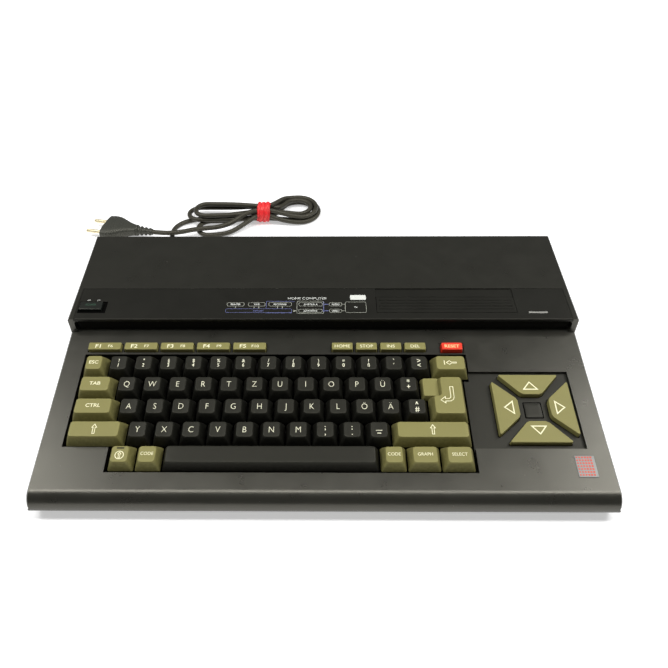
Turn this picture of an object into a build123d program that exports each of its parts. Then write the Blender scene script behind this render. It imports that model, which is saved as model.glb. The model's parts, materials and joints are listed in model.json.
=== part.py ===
from build123d import *
import math
import os

# Home computer with a sloping keyboard panel, a raised rear deck and a captive mains cord.
# Frame: X to the right, Y to the back, Z up, origin on the table under the middle of the case.
# Lengths are in millimetres and angles in degrees. Flat work is drawn in one of two tilted frames:
# the panel frame (x, v up the slope from the nose, h above the panel face) and the deck frame
# (x, w back from the lip, h above the deck face).

os.makedirs("parts", exist_ok=True)

# Key block
KEY_PITCH = 19.05
KEY_ROW_COUNT = 5
ROW_UNITS = 15.25          # width of the full rows, in key pitches
BACKSPACE_END_UNITS = 15.5       # the top row is this many pitches long
KEY_GAP = 1.05             # between the feet of two caps
CAP_SIDE_DRAFT = 2.5       # each side of a cap's top lies this far inside its foot
CAP_END_DRAFT = 2.8
CAP_HEIGHT = 9.5           # cap top above the panel
FRONT_ROW_HEIGHT = 8.5
CAP_SINK = 0.5             # cap foot below the panel face
CAP_FOOT_BEVEL = 1.2
CAP_TOP_BEVEL = 1.6
DISH_RADIUS = 34.0         # hollow of a cap's top, across its width
DISH_DEPTH = 0.5
KEY_TRAVEL = 3.8
LEDGE_HEIGHT = 5.0         # low left part of the return key
LEDGE_WIDTH = 10.7
LEDGE_DRAFT = 1.3

# Low keys above the block
LOW_KEY_DEPTH = 7.4
LOW_KEY_DRAFT = 0.4
LOW_KEY_BEVEL = 0.6
LOW_KEY_HEIGHT = 3.0
LOW_KEY_GAP = 0.4          # between a low key and its slot
LOW_ROW_GAP = 10.6         # from the key block to the middle of the low keys
FUNCTION_KEY_COUNT = 5
FUNCTION_PITCH = 1.5 * KEY_PITCH
FUNCTION_KEY_WIDTH = FUNCTION_PITCH - 2.2
FUNCTION_START = 12.45     # middle of the first function key from the left end of the key block
EDIT_KEY_WIDTH = KEY_PITCH - 2.05
EDIT_START = 199.7         # middle of the first edit key from the left end of the key block
RESET_WIDTH = 16.8
RESET_OFFSET = 85.95       # from the first edit key to the reset key
RESET_RECESS_RIM = 1.0
RESET_RECESS_DEPTH = 1.0

# Arrow keys
ARROW_OUTER = 28.8         # from the middle of the pad to the outer edge of a key
ARROW_INNER = 11.1
ARROW_OUTER_HALF = 23.4    # half the length of that outer edge
ARROW_INNER_HALF = 7.3
ARROW_CORNER = 1.6
ARROW_HEIGHT = 2.0
ARROW_GAP = 0.4            # between an arrow key and its hole
ARROW_DRAFT = 3.0          # slope of an arrow key's sides, in degrees
ARROW_SKIRT = 0.2          # foot of an arrow key below the panel's underside
PAD_WIDTH = 78.7
PAD_FRONT = 31.0
PAD_BACK = 96.2
ARROW_RIM = 2.4            # from the right arrow key to the right edge of the pad
PAD_RIM = 2.0              # the plate reaches this far under the panel
PAD_THICKNESS = 1.5

# Margins that set the outline of the case
LEFT_MARGIN = 18.6
RIGHT_MARGIN = 15.5
WELL_GAP = 1.7             # right of the key block
WELL_LEFT_GAP = 2.3
WELL_EDGE_GAP = 0.4
WELL_BACK_GAP = 4.5        # behind the top row
NOTCH_GAP = 2.1            # left of the front row
BULGE_GAP = 0.8            # right of the backspace key
FRONT_MARGIN = 12.6        # from the nose line to the front row
DECK_GAP = 16.35           # from the low keys to the deck lip
NOSE_REACH = 9.5
NOSE_UNDERCUT = 5.0        # radius below the nose
UNDERCUT_SLOPE = 30.0
DECK_DEPTH = 102.6
PANEL_FRONT_Z = 23.5
PANEL_SLOPE = 9.65
DECK_SLOPE = 4.16
DECK_STEP = 13.44          # height of the deck lip above the panel
WALL = 2.5
FOOT_HEIGHT = 3.0
FOOT_RADIUS = 7.0
FOOT_INSET = 22.0
FRONT_FOOT_INSET = 28.0
AIR_SLOT_COUNT = 9
AIR_SLOT_WIDTH = 3.0
AIR_SLOT_LENGTH = 18.0
AIR_SLOT_PITCH = 7.0
AIR_SLOT_OFFSET = 12.0     # behind the middle of the transformer
EDGE_BEVEL = 1.0
SKIRT_WALL = 1.2           # wall round the key well
SKIRT_DEPTH = 2.0

# Deck and control strip
CHEEK = 4.5                # end walls of the strip and of the dark recess below it
RECESS_DEPTH = 3.0
RECESS_CORNER = 2.5
SHADOW_THICKNESS = 1.5
STRIP_DEPTH = 34.9
SEAM = 0.3
STRIP_LEDGE = 3.0
LEDGE_THICKNESS = 1.5
LIP_RADIUS = 0.8
BUTTON_LEFT = 6.8          # from the left side of the case
BUTTON_FRONT = 9.9         # back from the lip
BUTTON_WIDTH = 18.2
BUTTON_DEPTH = 8.6
BUTTON_HEIGHT = 1.5
BUTTON_BODY = 8.0
BUTTON_TRAVEL = 3.0
BUTTON_GAP = 0.3
BUTTON_RECESS = 1.0
BUTTON_RECESS_FRONT = 3.0
BUTTON_RECESS_BACK = 1.4
BUTTON_RECESS_LEFT = 1.0
BUTTON_RECESS_RIGHT = 3.5
GUIDE_WALL = 1.5
SWITCH_HEIGHT = 16.0
PLUNGER_PIT = 2.5
PLUNGER_RADIUS = 3.0
BUTTON_ROUNDING = 0.7
DOOR_RIGHT = 47.3          # from the right side of the case
DOOR_FRONT = 7.7
DOOR_WIDTH = 111.3
DOOR_DEPTH = 17.25
DOOR_THICKNESS = 2.0
DOOR_GAP = 0.35
DOOR_GROOVE_COUNT = 4
DOOR_RIM = 2.0             # plain edge round the grooves
GROOVE_WIDTH = 0.6
GROOVE_DEPTH = 0.4
HINGE_INSET = 1.3
HINGE_DROP = 2.6
HINGE_BARREL = 1.1
HINGE_PIN = 0.9
HINGE_PIN_LENGTH = 1.6
HINGE_CLEARANCE = 0.08
CHUTE_WALL = 1.8
CHUTE_DEPTH = 28.0
LABEL_RECESS_DEPTH = 9.2   # shallow light strip behind the door
LABEL_RECESS_SINK = 0.8
LABEL_RECESS_GAP = 0.4
LAMP_RIGHT = 23.2
LAMP_FRONT = 6.7
LAMP_WIDTH = 14.9
LAMP_DEPTH = 1.7
LAMP_THICKNESS = 3.4
LAMP_PROUD = 0.2
LAMP_GAP = 0.15

# Keyboard under the caps
PLATE_DROP = 10.0          # top of the key plate below the panel face
PLATE_THICKNESS = 1.2
PLATE_MARGIN = 6.0
PLATE_FRONT_LAP = 2.0
PLATE_BACK_LAP = 9.5
BOARD_THICKNESS = 1.6
BOARD_INSET = 3.0          # keyboard board inside the edge of the plate
SWITCH_GAP = 5.65          # between neighbouring switch housings
SWITCH_BODY = 5.2
STEM = 4.0
STEM_GAP = 0.3
STEM_END_GAP = 0.3
BORE_FLOOR = 0.2           # bottom of a switch's bore

# Fasteners
SCREW_RADIUS = 1.5
SCREW_HEAD_RADIUS = 3.0
SCREW_HEAD_HEIGHT = 2.0
SCREW_LENGTH = 14.0
SCREW_CLEARANCE = 0.1
BOSS_RADIUS = 3.8
PLATE_BOSS_RADIUS = 2.6
PLATE_BOSS_INSET = 3.6
BOSS_BORE = 8.0
BOARD_POST_RADIUS = 3.0
BOSS_INSET = 10.5
FRONT_BOSS_INSET = 13.5
MIDDLE_BOSS_INSET = 52.5   # from the back of the case
BACK_BOSS_INSET = 10.5

# Rear panel and sockets
REAR_MARGIN = 14.0
REAR_LOW = 2.5             # rear opening above the parting line
REAR_HEIGHT = 36.0
REAR_RIM = 3.0
REAR_THICKNESS = 1.5
PORT_HEIGHT = 14.0         # socket centres above the main board
PORT_GAP = 0.3             # round a socket in its hole
PORT_SPACING = 2.5         # between the bodies of neighbouring sockets
SOCKET_MARGIN = 3.0        # socket body beyond its shroud on each side
SOCKET_RISE = 9.0          # top of a socket body above its middle
SOCKET_DEPTH = 10.0
SOCKET_PROUD = 1.5         # a socket's rim behind the rear panel
SLOT_MARGIN = 6.0          # from the end of the rear opening to the rear cartridge slot
BOARD_STANDOFF = 4.5
BOARD_CLEARANCE = 0.6
MAIN_BOARD_LEFT = 86.5     # from the left side of the case
MAIN_BOARD_RIGHT = 12.0
MAIN_BOARD_FRONT = 6.5     # back from the lip
MAIN_BOARD_BACK = 4.5
SLOT_LENGTH = 112.0
SLOT_HEIGHT = 18.0
CONNECTOR_LENGTH = 100.0
CONNECTOR_DEPTH = 10.0
CONNECTOR_HEIGHT = 12.4
CONNECTOR_SLOT = 2.6
CONNECTOR_WALL = 5.0       # at each end of a connector's slot
CONNECTOR_PIT = 9.0
REAR_CONNECTOR_SETBACK = 10.0  # rear connector's face ahead of the rear panel
REAR_CONNECTOR_DEPTH = 12.0
CHIP_COUNT = 5
FIRST_CHIP = 24.0          # from the left edge of the main board
CHIP_PITCH = 26.0
CHIP_WIDTH = 14.0
CHIP_HEIGHT = 4.0
CHIP_FRONT = 8.0
CHIP_GAP = 2.0             # from the processor to the modulator
CHIP_SHARE = 0.7           # length of the other chips over the processor's
DIN_RADIUS = 8.0
DIN_BORE = 6.8
DIN_BORE_DEPTH = 6.5
DIN_SOCKET_COUNT = 2
D_WIDTH = 19.0
D_HEIGHT = 10.4
D_WALL = 1.0
D_NARROWING = 0.36         # how much narrower a D is below, over its height
D_BORE_DEPTH = 6.0
D_SOCKET_COUNT = 2
PRINTER_WIDTH = 40.0
PRINTER_HEIGHT = 11.0
MODULATOR_WIDTH = 22.0
MODULATOR_DEPTH = 30.0
MODULATOR_HEIGHT = 22.0
JACK_RADIUS = 4.2
JACK_BORE = 1.8
JACK_SETBACK = 0.2         # end of the jack inside the back of the case
ROUND_SIDE_COUNT = 16           # flat sides of sockets, glands and bands

# Mains side
CORD_DIAMETER = 5.0
GLAND_FROM_LEFT = 50.5
GLAND_Z = 20.0
GLAND_FLANGE_RADIUS = 7.5
GLAND_FLANGE = 2.0
RELIEF_LENGTH = 30.0
RELIEF_RADIUS = 4.8
RELIEF_END_RADIUS = 3.1
TRANSFORMER_FROM_LEFT = 46.0
TRANSFORMER_FROM_BACK = 38.0
CORE_WIDTH = 56.0
CORE_DEPTH = 20.0
CORE_HEIGHT = 42.0
COIL_WIDTH = 32.0
COIL_DEPTH = 40.0
COIL_HEIGHT = 26.0
COIL_ROUNDING = 3.0
PLUG_PLACE = (-231.0, 226.0)   # middle of the plug's pin face
PLUG_TURN = -13.0
PLUG_PITCH = 2.0           # the stiff cord lifts the sleeve a little
PLUG_WIDTH = 35.0
PLUG_THICKNESS = 13.6
PLUG_LENGTH = 36.0
PLUG_RELIEF = 18.0
PLUG_RIB_COUNT = 4
PLUG_RIB_HEIGHT = 1.7
PLUG_RIB_TAPER = 0.2       # each rib is this much lower than the one before
PLUG_SLEEVE_WALL = 0.6
PLUG_BEVEL = 0.25          # corner bevel over the thickness
PLUG_SECTIONS = (
    # place along the plug, width and thickness, each over the plug's own size
    (0.0, 0.97, 0.955),
    (0.19, 1.0, 1.0),
    (0.69, 0.6, 0.9),
    (1.0, 0.35, 0.72),
)
PIN_RADIUS = 2.0
PIN_LENGTH = 19.0
PIN_SPACING = 19.0
TABLE_GAP = 0.3            # soft cord pieces above the table

# Worked out from the sizes above
KEYS_WIDTH = ROW_UNITS * KEY_PITCH
WIDTH = LEFT_MARGIN + KEYS_WIDTH + WELL_GAP + PAD_WIDTH + RIGHT_MARGIN
PANEL_LENGTH = FRONT_MARGIN + KEY_ROW_COUNT * KEY_PITCH + LOW_ROW_GAP + DECK_GAP
SLOPE_SIN = math.sin(math.radians(PANEL_SLOPE))
SLOPE_COS = math.cos(math.radians(PANEL_SLOPE))
DECK_TAN = math.tan(math.radians(DECK_SLOPE))
DECK_COS = math.cos(math.radians(DECK_SLOPE))
DEPTH = NOSE_REACH + PANEL_LENGTH * SLOPE_COS + DECK_DEPTH
SIDE = WIDTH / 2
BACK_Y = DEPTH / 2
FRONT_Y = -DEPTH / 2
PANEL_FRONT_Y = FRONT_Y + NOSE_REACH
NOSE_RADIUS = NOSE_REACH / (1 - SLOPE_SIN)
PARTING_Z = PANEL_FRONT_Z - NOSE_RADIUS * SLOPE_COS
DECK_FRONT_Y = BACK_Y - DECK_DEPTH
PANEL_BACK_Z = PANEL_FRONT_Z + PANEL_LENGTH * SLOPE_SIN
LIP_Z = PANEL_BACK_Z + DECK_STEP
HEIGHT = LIP_Z + DECK_DEPTH * DECK_TAN
KEYS_LEFT = LEFT_MARGIN - SIDE
PAD_LEFT = KEYS_LEFT + KEYS_WIDTH + WELL_GAP
PAD_MIDDLE = (PAD_LEFT + PAD_WIDTH - ARROW_RIM - ARROW_OUTER, (PAD_FRONT + PAD_BACK) / 2)
LOW_ROW = FRONT_MARGIN + KEY_ROW_COUNT * KEY_PITCH + LOW_ROW_GAP
RECESS_HALF = SIDE - CHEEK
STRIP_HALF = RECESS_HALF - SEAM
RECESS_Y = DECK_FRONT_Y + RECESS_DEPTH
SHADOW_BACK_Y = RECESS_Y + SHADOW_THICKNESS
PANEL_UNDERSIDE = -WALL
SWITCH_SIZE = KEY_PITCH - SWITCH_GAP
SWITCH_TOP = SWITCH_BODY - PLATE_DROP
STEM_FOOT = KEY_TRAVEL + STEM_END_GAP - PLATE_DROP
MAIN_BOARD_Z = FOOT_HEIGHT + WALL + BOARD_STANDOFF
BOARD_TOP = MAIN_BOARD_Z + BOARD_THICKNESS
PORT_Z = BOARD_TOP + PORT_HEIGHT
REAR_INNER_Y = BACK_Y - WALL
REAR_PANEL_Y = REAR_INNER_Y - REAR_THICKNESS
DOOR_LEFT_X = SIDE - DOOR_RIGHT - DOOR_WIDTH
DOOR_MIDDLE_X = DOOR_LEFT_X + DOOR_WIDTH / 2
DOOR_BACK = DOOR_FRONT + DOOR_DEPTH
SLOT_MIDDLE_X = SIDE - REAR_MARGIN - SLOT_MARGIN - SLOT_LENGTH / 2
GLAND_X = GLAND_FROM_LEFT - SIDE

PANEL = Plane(
    origin=(0, PANEL_FRONT_Y, PANEL_FRONT_Z), x_dir=(1, 0, 0), z_dir=(0, -SLOPE_SIN, SLOPE_COS)
)
DECK = Plane(
    origin=(0, DECK_FRONT_Y, LIP_Z),
    x_dir=(1, 0, 0),
    z_dir=(0, -math.sin(math.radians(DECK_SLOPE)), DECK_COS),
)


def block(x_range, y_range, z_range):
    """Box between two corners, given as three (low, high) pairs."""
    (x0, x1), (y0, y1), (z0, z1) = x_range, y_range, z_range
    middle = Pos((x0 + x1) / 2, (y0 + y1) / 2, (z0 + z1) / 2)
    return middle * Box(x1 - x0, y1 - y0, z1 - z0)


def prism(x, y, low, high, radius, sides=6):
    """Upright post with flat sides, for the small round things that repeat."""
    return extrude(Pos(x, y, low) * RegularPolygon(radius, sides), high - low)


def along_y(x, z, front, back, radius):
    """Round bar with flat sides whose axis runs front to back."""
    return Pos(x, front, z) * Rot(-90, 0, 0) * prism(0, 0, 0, back - front, radius, ROUND_SIDE_COUNT)


def tapered_block(foot, top, low, high, foot_bevel, top_bevel):
    """Solid from a bevelled rectangle (left, right, front, back) at one height to another above."""
    sections = []
    for (left, right, front, back), height, bevel in (
        (foot, low, foot_bevel),
        (top, high, top_bevel),
    ):
        outline = Rectangle(right - left, back - front)
        outline = chamfer(outline.vertices(), bevel)
        sections.append(Pos((left + right) / 2, (front + back) / 2, height) * outline)
    return loft(sections, ruled=True)


def shrink(area, sides, ends):
    """The rectangle (left, right, front, back) drawn in by sides in x and by ends in v."""
    left, right, front, back = area
    return left + sides, right - sides, front + ends, back - ends


def panel_z(y):
    """Height of the panel face over the place y."""
    return PANEL_FRONT_Z + (y - PANEL_FRONT_Y) * SLOPE_SIN / SLOPE_COS


def deck_z(y):
    """Height of the deck face over the place y."""
    return LIP_Z + (y - DECK_FRONT_Y) * DECK_TAN


# Keys: each name has its cap areas and the places of its stems


def cell(row, start, units=1.0):
    """Panel area of a key: row counts from the front, start and units are in key pitches."""
    left = KEYS_LEFT + start * KEY_PITCH
    front = FRONT_MARGIN + row * KEY_PITCH
    return left, left + units * KEY_PITCH, front, front + KEY_PITCH


def middle_of(area):
    """Middle (x, v) of an area."""
    left, right, front, back = area
    return (left + right) / 2, (front + back) / 2


LETTER_ROW_UNITS = {
    "number_row_keys": (4, 1.0, 13),
    "upper_row_keys": (3, 1.5, 12),
    "home_row_keys": (2, 1.75, 12),
    "lower_row_keys": (1, 2.25, 10),
}
SINGLE_KEY_UNITS = {
    "escape_key": (4, 0.0, 1.0),
    "backspace_key": (4, 14.0, BACKSPACE_END_UNITS - 14.0),
    "tab_key": (3, 0.0, 1.5),
    "control_key": (2, 0.0, 1.75),
    "shift_left_key": (1, 0.0, 2.25),
    "shift_right_key": (1, 12.25, 3.0),
    "caps_lock_key": (0, 1.75, 1.0),
    "code_left_key": (0, 2.75, 1.0),
    "space_bar": (0, 3.75, 8.0),
    "code_right_key": (0, 11.75, 1.0),
    "graph_key": (0, 12.75, 1.25),
    "select_key": (0, 14.0, 1.25),
}
RETURN_UPPER = cell(3, 13.5, 1.75)
RETURN_LOWER = cell(2, 13.75, 1.5)
EDIT_NAMES = ("home_key", "stop_key", "insert_key", "delete_key")
ARROW_NAMES = ("arrow_up_key", "arrow_left_key", "arrow_down_key", "arrow_right_key")
SPACE_STEM_OFFSET = 55.0


def key_height(row):
    """Height of a cap over the panel: the front row is a little lower."""
    return FRONT_ROW_HEIGHT if row == 0 else CAP_HEIGHT


def stem(x, v, foot):
    """Square stem from a cap's foot down into its switch."""
    half = STEM / 2
    return block((x - half, x + half), (v - half, v + half), (STEM_FOOT, foot))


def cap(area, height):
    """One key cap with slanting sides and a top hollowed across its width."""
    foot = shrink(area, KEY_GAP / 2, KEY_GAP / 2)
    top = shrink(foot, CAP_SIDE_DRAFT, CAP_END_DRAFT)
    body = tapered_block(foot, top, -CAP_SINK, height, CAP_FOOT_BEVEL, CAP_TOP_BEVEL)
    if top[1] - top[0] > KEY_PITCH:
        return body
    x, v = middle_of(area)
    hollow = Pos(x, v, height - DISH_DEPTH + DISH_RADIUS) * Rot(90, 0, 0)
    return body - hollow * Cylinder(DISH_RADIUS, KEY_PITCH)


def stem_places():
    """Every stem by key: name to a list of (x, v)."""
    places = {}
    for name, (row, start, count) in LETTER_ROW_UNITS.items():
        places[name] = [middle_of(cell(row, start + i)) for i in range(count)]
    for name, (row, start, units) in SINGLE_KEY_UNITS.items():
        places[name] = [middle_of(cell(row, start, units))]
    x, v = places["space_bar"][0]
    places["space_bar"] = [(x + offset, v) for offset in (-SPACE_STEM_OFFSET, 0, SPACE_STEM_OFFSET)]
    places["return_key"] = [middle_of(RETURN_LOWER)]
    for name, area in low_key_areas().items():
        places[name] = [middle_of(area)]
    reach = (ARROW_OUTER + ARROW_INNER) / 2
    for turn, name in enumerate(ARROW_NAMES):
        angle = math.radians(90 + 90 * turn)
        place = (PAD_MIDDLE[0] + reach * math.cos(angle), PAD_MIDDLE[1] + reach * math.sin(angle))
        places[name] = [place]
    return places


def low_key_areas():
    """Foot areas of the function, edit and reset keys."""
    areas = {}
    middles = {}
    for i in range(FUNCTION_KEY_COUNT):
        x = KEYS_LEFT + FUNCTION_START + i * FUNCTION_PITCH
        middles[f"function_key_{i + 1}"] = (x, FUNCTION_KEY_WIDTH)
    for i, name in enumerate(EDIT_NAMES):
        middles[name] = (KEYS_LEFT + EDIT_START + i * KEY_PITCH, EDIT_KEY_WIDTH)
    middles["reset_key"] = (KEYS_LEFT + EDIT_START + RESET_OFFSET, RESET_WIDTH)
    for name, (x, width) in middles.items():
        half = LOW_KEY_DEPTH / 2
        areas[name] = (x - width / 2, x + width / 2, LOW_ROW - half, LOW_ROW + half)
    return areas


def with_stems(body, name, foot=-CAP_SINK):
    """A key's cap joined to its stems."""
    for x, v in stem_places()[name]:
        body += stem(x, v, foot + CAP_SINK)
    return body


def letter_row(name):
    """A row of equal caps, each its own solid."""
    row, start, count = LETTER_ROW_UNITS[name]
    single = cap(cell(row, start), key_height(row))
    x, v = middle_of(cell(row, start))
    single += stem(x, v, 0)
    return Compound([Pos(i * KEY_PITCH, 0, 0) * single for i in range(count)])


def return_key():
    """Return key: a raised hook over both rows with a low ledge at its upper left."""
    lower = shrink(RETURN_LOWER, KEY_GAP / 2, KEY_GAP / 2)
    upper = shrink(RETURN_UPPER, KEY_GAP / 2, KEY_GAP / 2)
    back = upper[3]
    step = lower[3]
    tall = (upper[0] + LEDGE_WIDTH, lower[1], lower[2], back)
    wide = (lower[0], lower[1], lower[2], step + CAP_END_DRAFT)
    body = None
    for foot in (tall, wide):
        top = shrink(foot, CAP_SIDE_DRAFT, CAP_END_DRAFT)
        piece = tapered_block(foot, top, -CAP_SINK, CAP_HEIGHT, CAP_FOOT_BEVEL, CAP_TOP_BEVEL)
        body = piece if body is None else body + piece
    foot = (upper[0], upper[1], upper[2], back)
    top = shrink(foot, LEDGE_DRAFT, LEDGE_DRAFT)
    ledge = tapered_block(foot, top, -CAP_SINK, LEDGE_HEIGHT, CAP_FOOT_BEVEL, CAP_FOOT_BEVEL)
    return with_stems(body + ledge, "return_key")


def low_key(name, area):
    """Flat key that rises from a slot in the panel."""
    top = shrink(area, LOW_KEY_DRAFT, LOW_KEY_DRAFT)
    body = tapered_block(area, top, PANEL_UNDERSIDE, LOW_KEY_HEIGHT, LOW_KEY_BEVEL, LOW_KEY_BEVEL)
    return with_stems(body, name, PANEL_UNDERSIDE)


def arrow_outline(turn, grow=0.0):
    """Trapezium of an arrow key, with bevelled corners, turned about the middle of the pad."""
    outer, inner = ARROW_OUTER + grow, ARROW_INNER - grow
    outer_half, inner_half = ARROW_OUTER_HALF + grow, ARROW_INNER_HALF + grow
    corners = [(-inner_half, inner), (inner_half, inner), (outer_half, outer), (-outer_half, outer)]
    outline = Polygon(*corners, align=None)
    outline = chamfer(outline.vertices(), ARROW_CORNER)
    return Pos(*PAD_MIDDLE, 0) * Rot(0, 0, 90 * turn) * outline


def arrow_key(turn, name):
    """Arrow key: a mitred quarter of the pad."""
    foot = PANEL_UNDERSIDE - ARROW_SKIRT
    outline = Pos(0, 0, foot) * arrow_outline(turn)
    return with_stems(extrude(outline, ARROW_HEIGHT - foot, taper=ARROW_DRAFT), name, foot)


def key_solids():
    """All keys by node name, in the panel frame."""
    keys = {name: letter_row(name) for name in LETTER_ROW_UNITS}
    for name, (row, start, units) in SINGLE_KEY_UNITS.items():
        keys[name] = with_stems(cap(cell(row, start, units), key_height(row)), name)
    keys["return_key"] = return_key()
    for name, area in low_key_areas().items():
        keys[name] = low_key(name, area)
    for turn, name in enumerate(ARROW_NAMES):
        keys[name] = arrow_key(turn, name)
    return keys


# Keyboard frame under the caps

PLATE_LEFT = KEYS_LEFT - PLATE_MARGIN
PLATE_RIGHT = PAD_LEFT + PAD_WIDTH + PAD_RIM
PLATE_FRONT = FRONT_MARGIN - PLATE_FRONT_LAP
PLATE_BACK = LOW_ROW + PLATE_BACK_LAP
PLATE_LOW = -PLATE_DROP - PLATE_THICKNESS


def key_plate():
    """Steel plate that holds the switches."""
    return block((PLATE_LEFT, PLATE_RIGHT), (PLATE_FRONT, PLATE_BACK), (PLATE_LOW, -PLATE_DROP))


def keyboard_board():
    """Circuit board under the key plate."""
    area = shrink((PLATE_LEFT, PLATE_RIGHT, PLATE_FRONT, PLATE_BACK), BOARD_INSET, BOARD_INSET)
    return block(area[:2], area[2:], (PLATE_LOW - BOARD_THICKNESS, PLATE_LOW))


def key_switches():
    """A housing with a square bore for every stem."""
    half = SWITCH_SIZE / 2
    housing = block((-half, half), (-half, half), (-PLATE_DROP, SWITCH_TOP))
    hole = STEM / 2 + STEM_GAP
    housing -= block((-hole, hole), (-hole, hole), (-PLATE_DROP + BORE_FLOOR, SWITCH_TOP + 1))
    spots = [spot for spots in stem_places().values() for spot in spots]
    return Compound([Pos(x, v, 0) * housing for x, v in spots])


# Case mouldings


def well_outline(grow=0.0):
    """Key well: the key block with its notched front left and the bulge for backspace."""
    left = KEYS_LEFT - WELL_LEFT_GAP - grow
    right = KEYS_LEFT + KEYS_WIDTH + WELL_GAP + grow
    bulge = KEYS_LEFT + BACKSPACE_END_UNITS * KEY_PITCH + BULGE_GAP + grow
    notch = cell(0, SINGLE_KEY_UNITS["caps_lock_key"][1])[0] - NOTCH_GAP - grow
    front = FRONT_MARGIN - WELL_EDGE_GAP - grow
    step = FRONT_MARGIN + KEY_PITCH - grow
    bulge_front = FRONT_MARGIN + 4 * KEY_PITCH - WELL_EDGE_GAP - grow
    back = FRONT_MARGIN + KEY_ROW_COUNT * KEY_PITCH + WELL_BACK_GAP + grow
    corners = [
        (notch, front),
        (right, front),
        (right, bulge_front),
        (bulge, bulge_front),
        (bulge, back),
        (left, back),
        (left, step),
        (notch, step),
    ]
    return Polygon(*corners, align=None)


def pad_area():
    """Opening of the arrow pad in the panel."""
    return PAD_LEFT, PAD_LEFT + PAD_WIDTH, PAD_FRONT, PAD_BACK


def front_shell():
    """Nose, panel and side walls of the front half, open below and behind."""
    centre = (FRONT_Y + NOSE_RADIUS, PARTING_Z)
    nose = CenterArc(centre, NOSE_RADIUS, 90 + PANEL_SLOPE, 90 - PANEL_SLOPE)
    lines = Polyline(
        (FRONT_Y, PARTING_Z),
        (DECK_FRONT_Y, PARTING_Z),
        (DECK_FRONT_Y, PANEL_BACK_Z),
        (PANEL_FRONT_Y, PANEL_FRONT_Z),
    )
    solid = extrude(Plane.YZ * make_face([nose, *lines.edges()]), SIDE, both=True)
    below = solid.faces().sort_by(Axis.Z)[0]
    behind = solid.faces().sort_by(Axis.Y)[-1]
    shell = offset(solid, amount=-WALL, openings=[below, behind])
    rims = [
        edge
        for edge in shell.edges()
        if abs(abs(edge.center().X) - SIDE) < 0.01 and edge.center().Z > PARTING_Z + 0.5
        and edge.center().Y < DECK_FRONT_Y - 0.5
    ]
    return chamfer(rims, EDGE_BEVEL)


def boss(x, y, top):
    """Screw boss of an upper moulding, from the parting line up to its ceiling."""
    body = prism(x, y, PARTING_Z, top, BOSS_RADIUS)
    return body - prism(x, y, PARTING_Z - 1, PARTING_Z + BOSS_BORE, SCREW_RADIUS + SCREW_CLEARANCE)


def screw_places():
    """The six case screws: two under the nose and four under the deck."""
    rows = (FRONT_Y + FRONT_BOSS_INSET, BACK_Y - MIDDLE_BOSS_INSET, BACK_Y - BACK_BOSS_INSET)
    return [(side * (SIDE - BOSS_INSET), y) for y in rows for side in (-1, 1)]


def keyboard_surround():
    """Front moulding: panel with the key well, slots and the tongue under the deck lip."""
    body = front_shell()
    reach = (SHADOW_BACK_Y - PANEL_FRONT_Y) / SLOPE_COS
    tongue = block((-STRIP_HALF, STRIP_HALF), (PANEL_LENGTH - WALL, reach), (PANEL_UNDERSIDE, 0))
    well = well_outline()
    ceiling = PANEL_UNDERSIDE - SKIRT_DEPTH
    skirt = extrude(Pos(0, 0, ceiling) * (well_outline(SKIRT_WALL) - well), SKIRT_DEPTH)
    left, right, front, back = pad_area()
    rim = PAD_RIM + SEAM
    gate = block((left - WELL_GAP - rim, right), (front - rim, back + rim), (ceiling - 1, 0.5))
    body += PANEL * (tongue + (skirt - gate))
    cuts = extrude(Pos(0, 0, PANEL_UNDERSIDE - 0.5) * well, WALL + 1)
    cuts += block((left - WELL_GAP, right), (front, back), (PANEL_UNDERSIDE - 0.5, 0.5))
    for name, area in low_key_areas().items():
        slot = shrink(area, -LOW_KEY_GAP, -LOW_KEY_GAP)
        cuts += block(slot[:2], slot[2:], (PANEL_UNDERSIDE - 0.5, 0.5))
        if name == "reset_key":
            rim = shrink(slot, -RESET_RECESS_RIM, -RESET_RECESS_RIM)
            cuts += block(rim[:2], rim[2:], (-RESET_RECESS_DEPTH, 0.5))
    body -= PANEL * cuts
    for x, y in screw_places():
        if y < DECK_FRONT_Y:
            body += boss(x, y, panel_z(y) - WALL)
    return body + PANEL * plate_bosses()


def plate_bosses():
    """Posts from the panel down to the corners of the key plate."""
    posts = None
    left, right, front, back = shrink(
        (PLATE_LEFT, PLATE_RIGHT, PLATE_FRONT, PLATE_BACK), PLATE_BOSS_INSET, PLATE_BOSS_INSET
    )
    for x in (left, right):
        for v in (front, back):
            piece = prism(x, v, -PLATE_DROP, PANEL_UNDERSIDE, PLATE_BOSS_RADIUS)
            posts = piece if posts is None else posts + piece
    return posts


def arrow_plate():
    """Sunken plate under the arrow keys, seated on the underside of the panel."""
    left, right, front, back = pad_area()
    area = (left - WELL_GAP, right + PAD_RIM, front - PAD_RIM, back + PAD_RIM)
    body = block(area[:2], area[2:], (PANEL_UNDERSIDE - PAD_THICKNESS, PANEL_UNDERSIDE))
    below = Pos(0, 0, PANEL_UNDERSIDE - PAD_THICKNESS - 1)
    for turn in range(len(ARROW_NAMES)):
        body -= extrude(below * arrow_outline(turn, ARROW_GAP), PAD_THICKNESS + 2)
    return body - extrude(below * well_outline(-WELL_EDGE_GAP), PAD_THICKNESS + 2)


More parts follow.
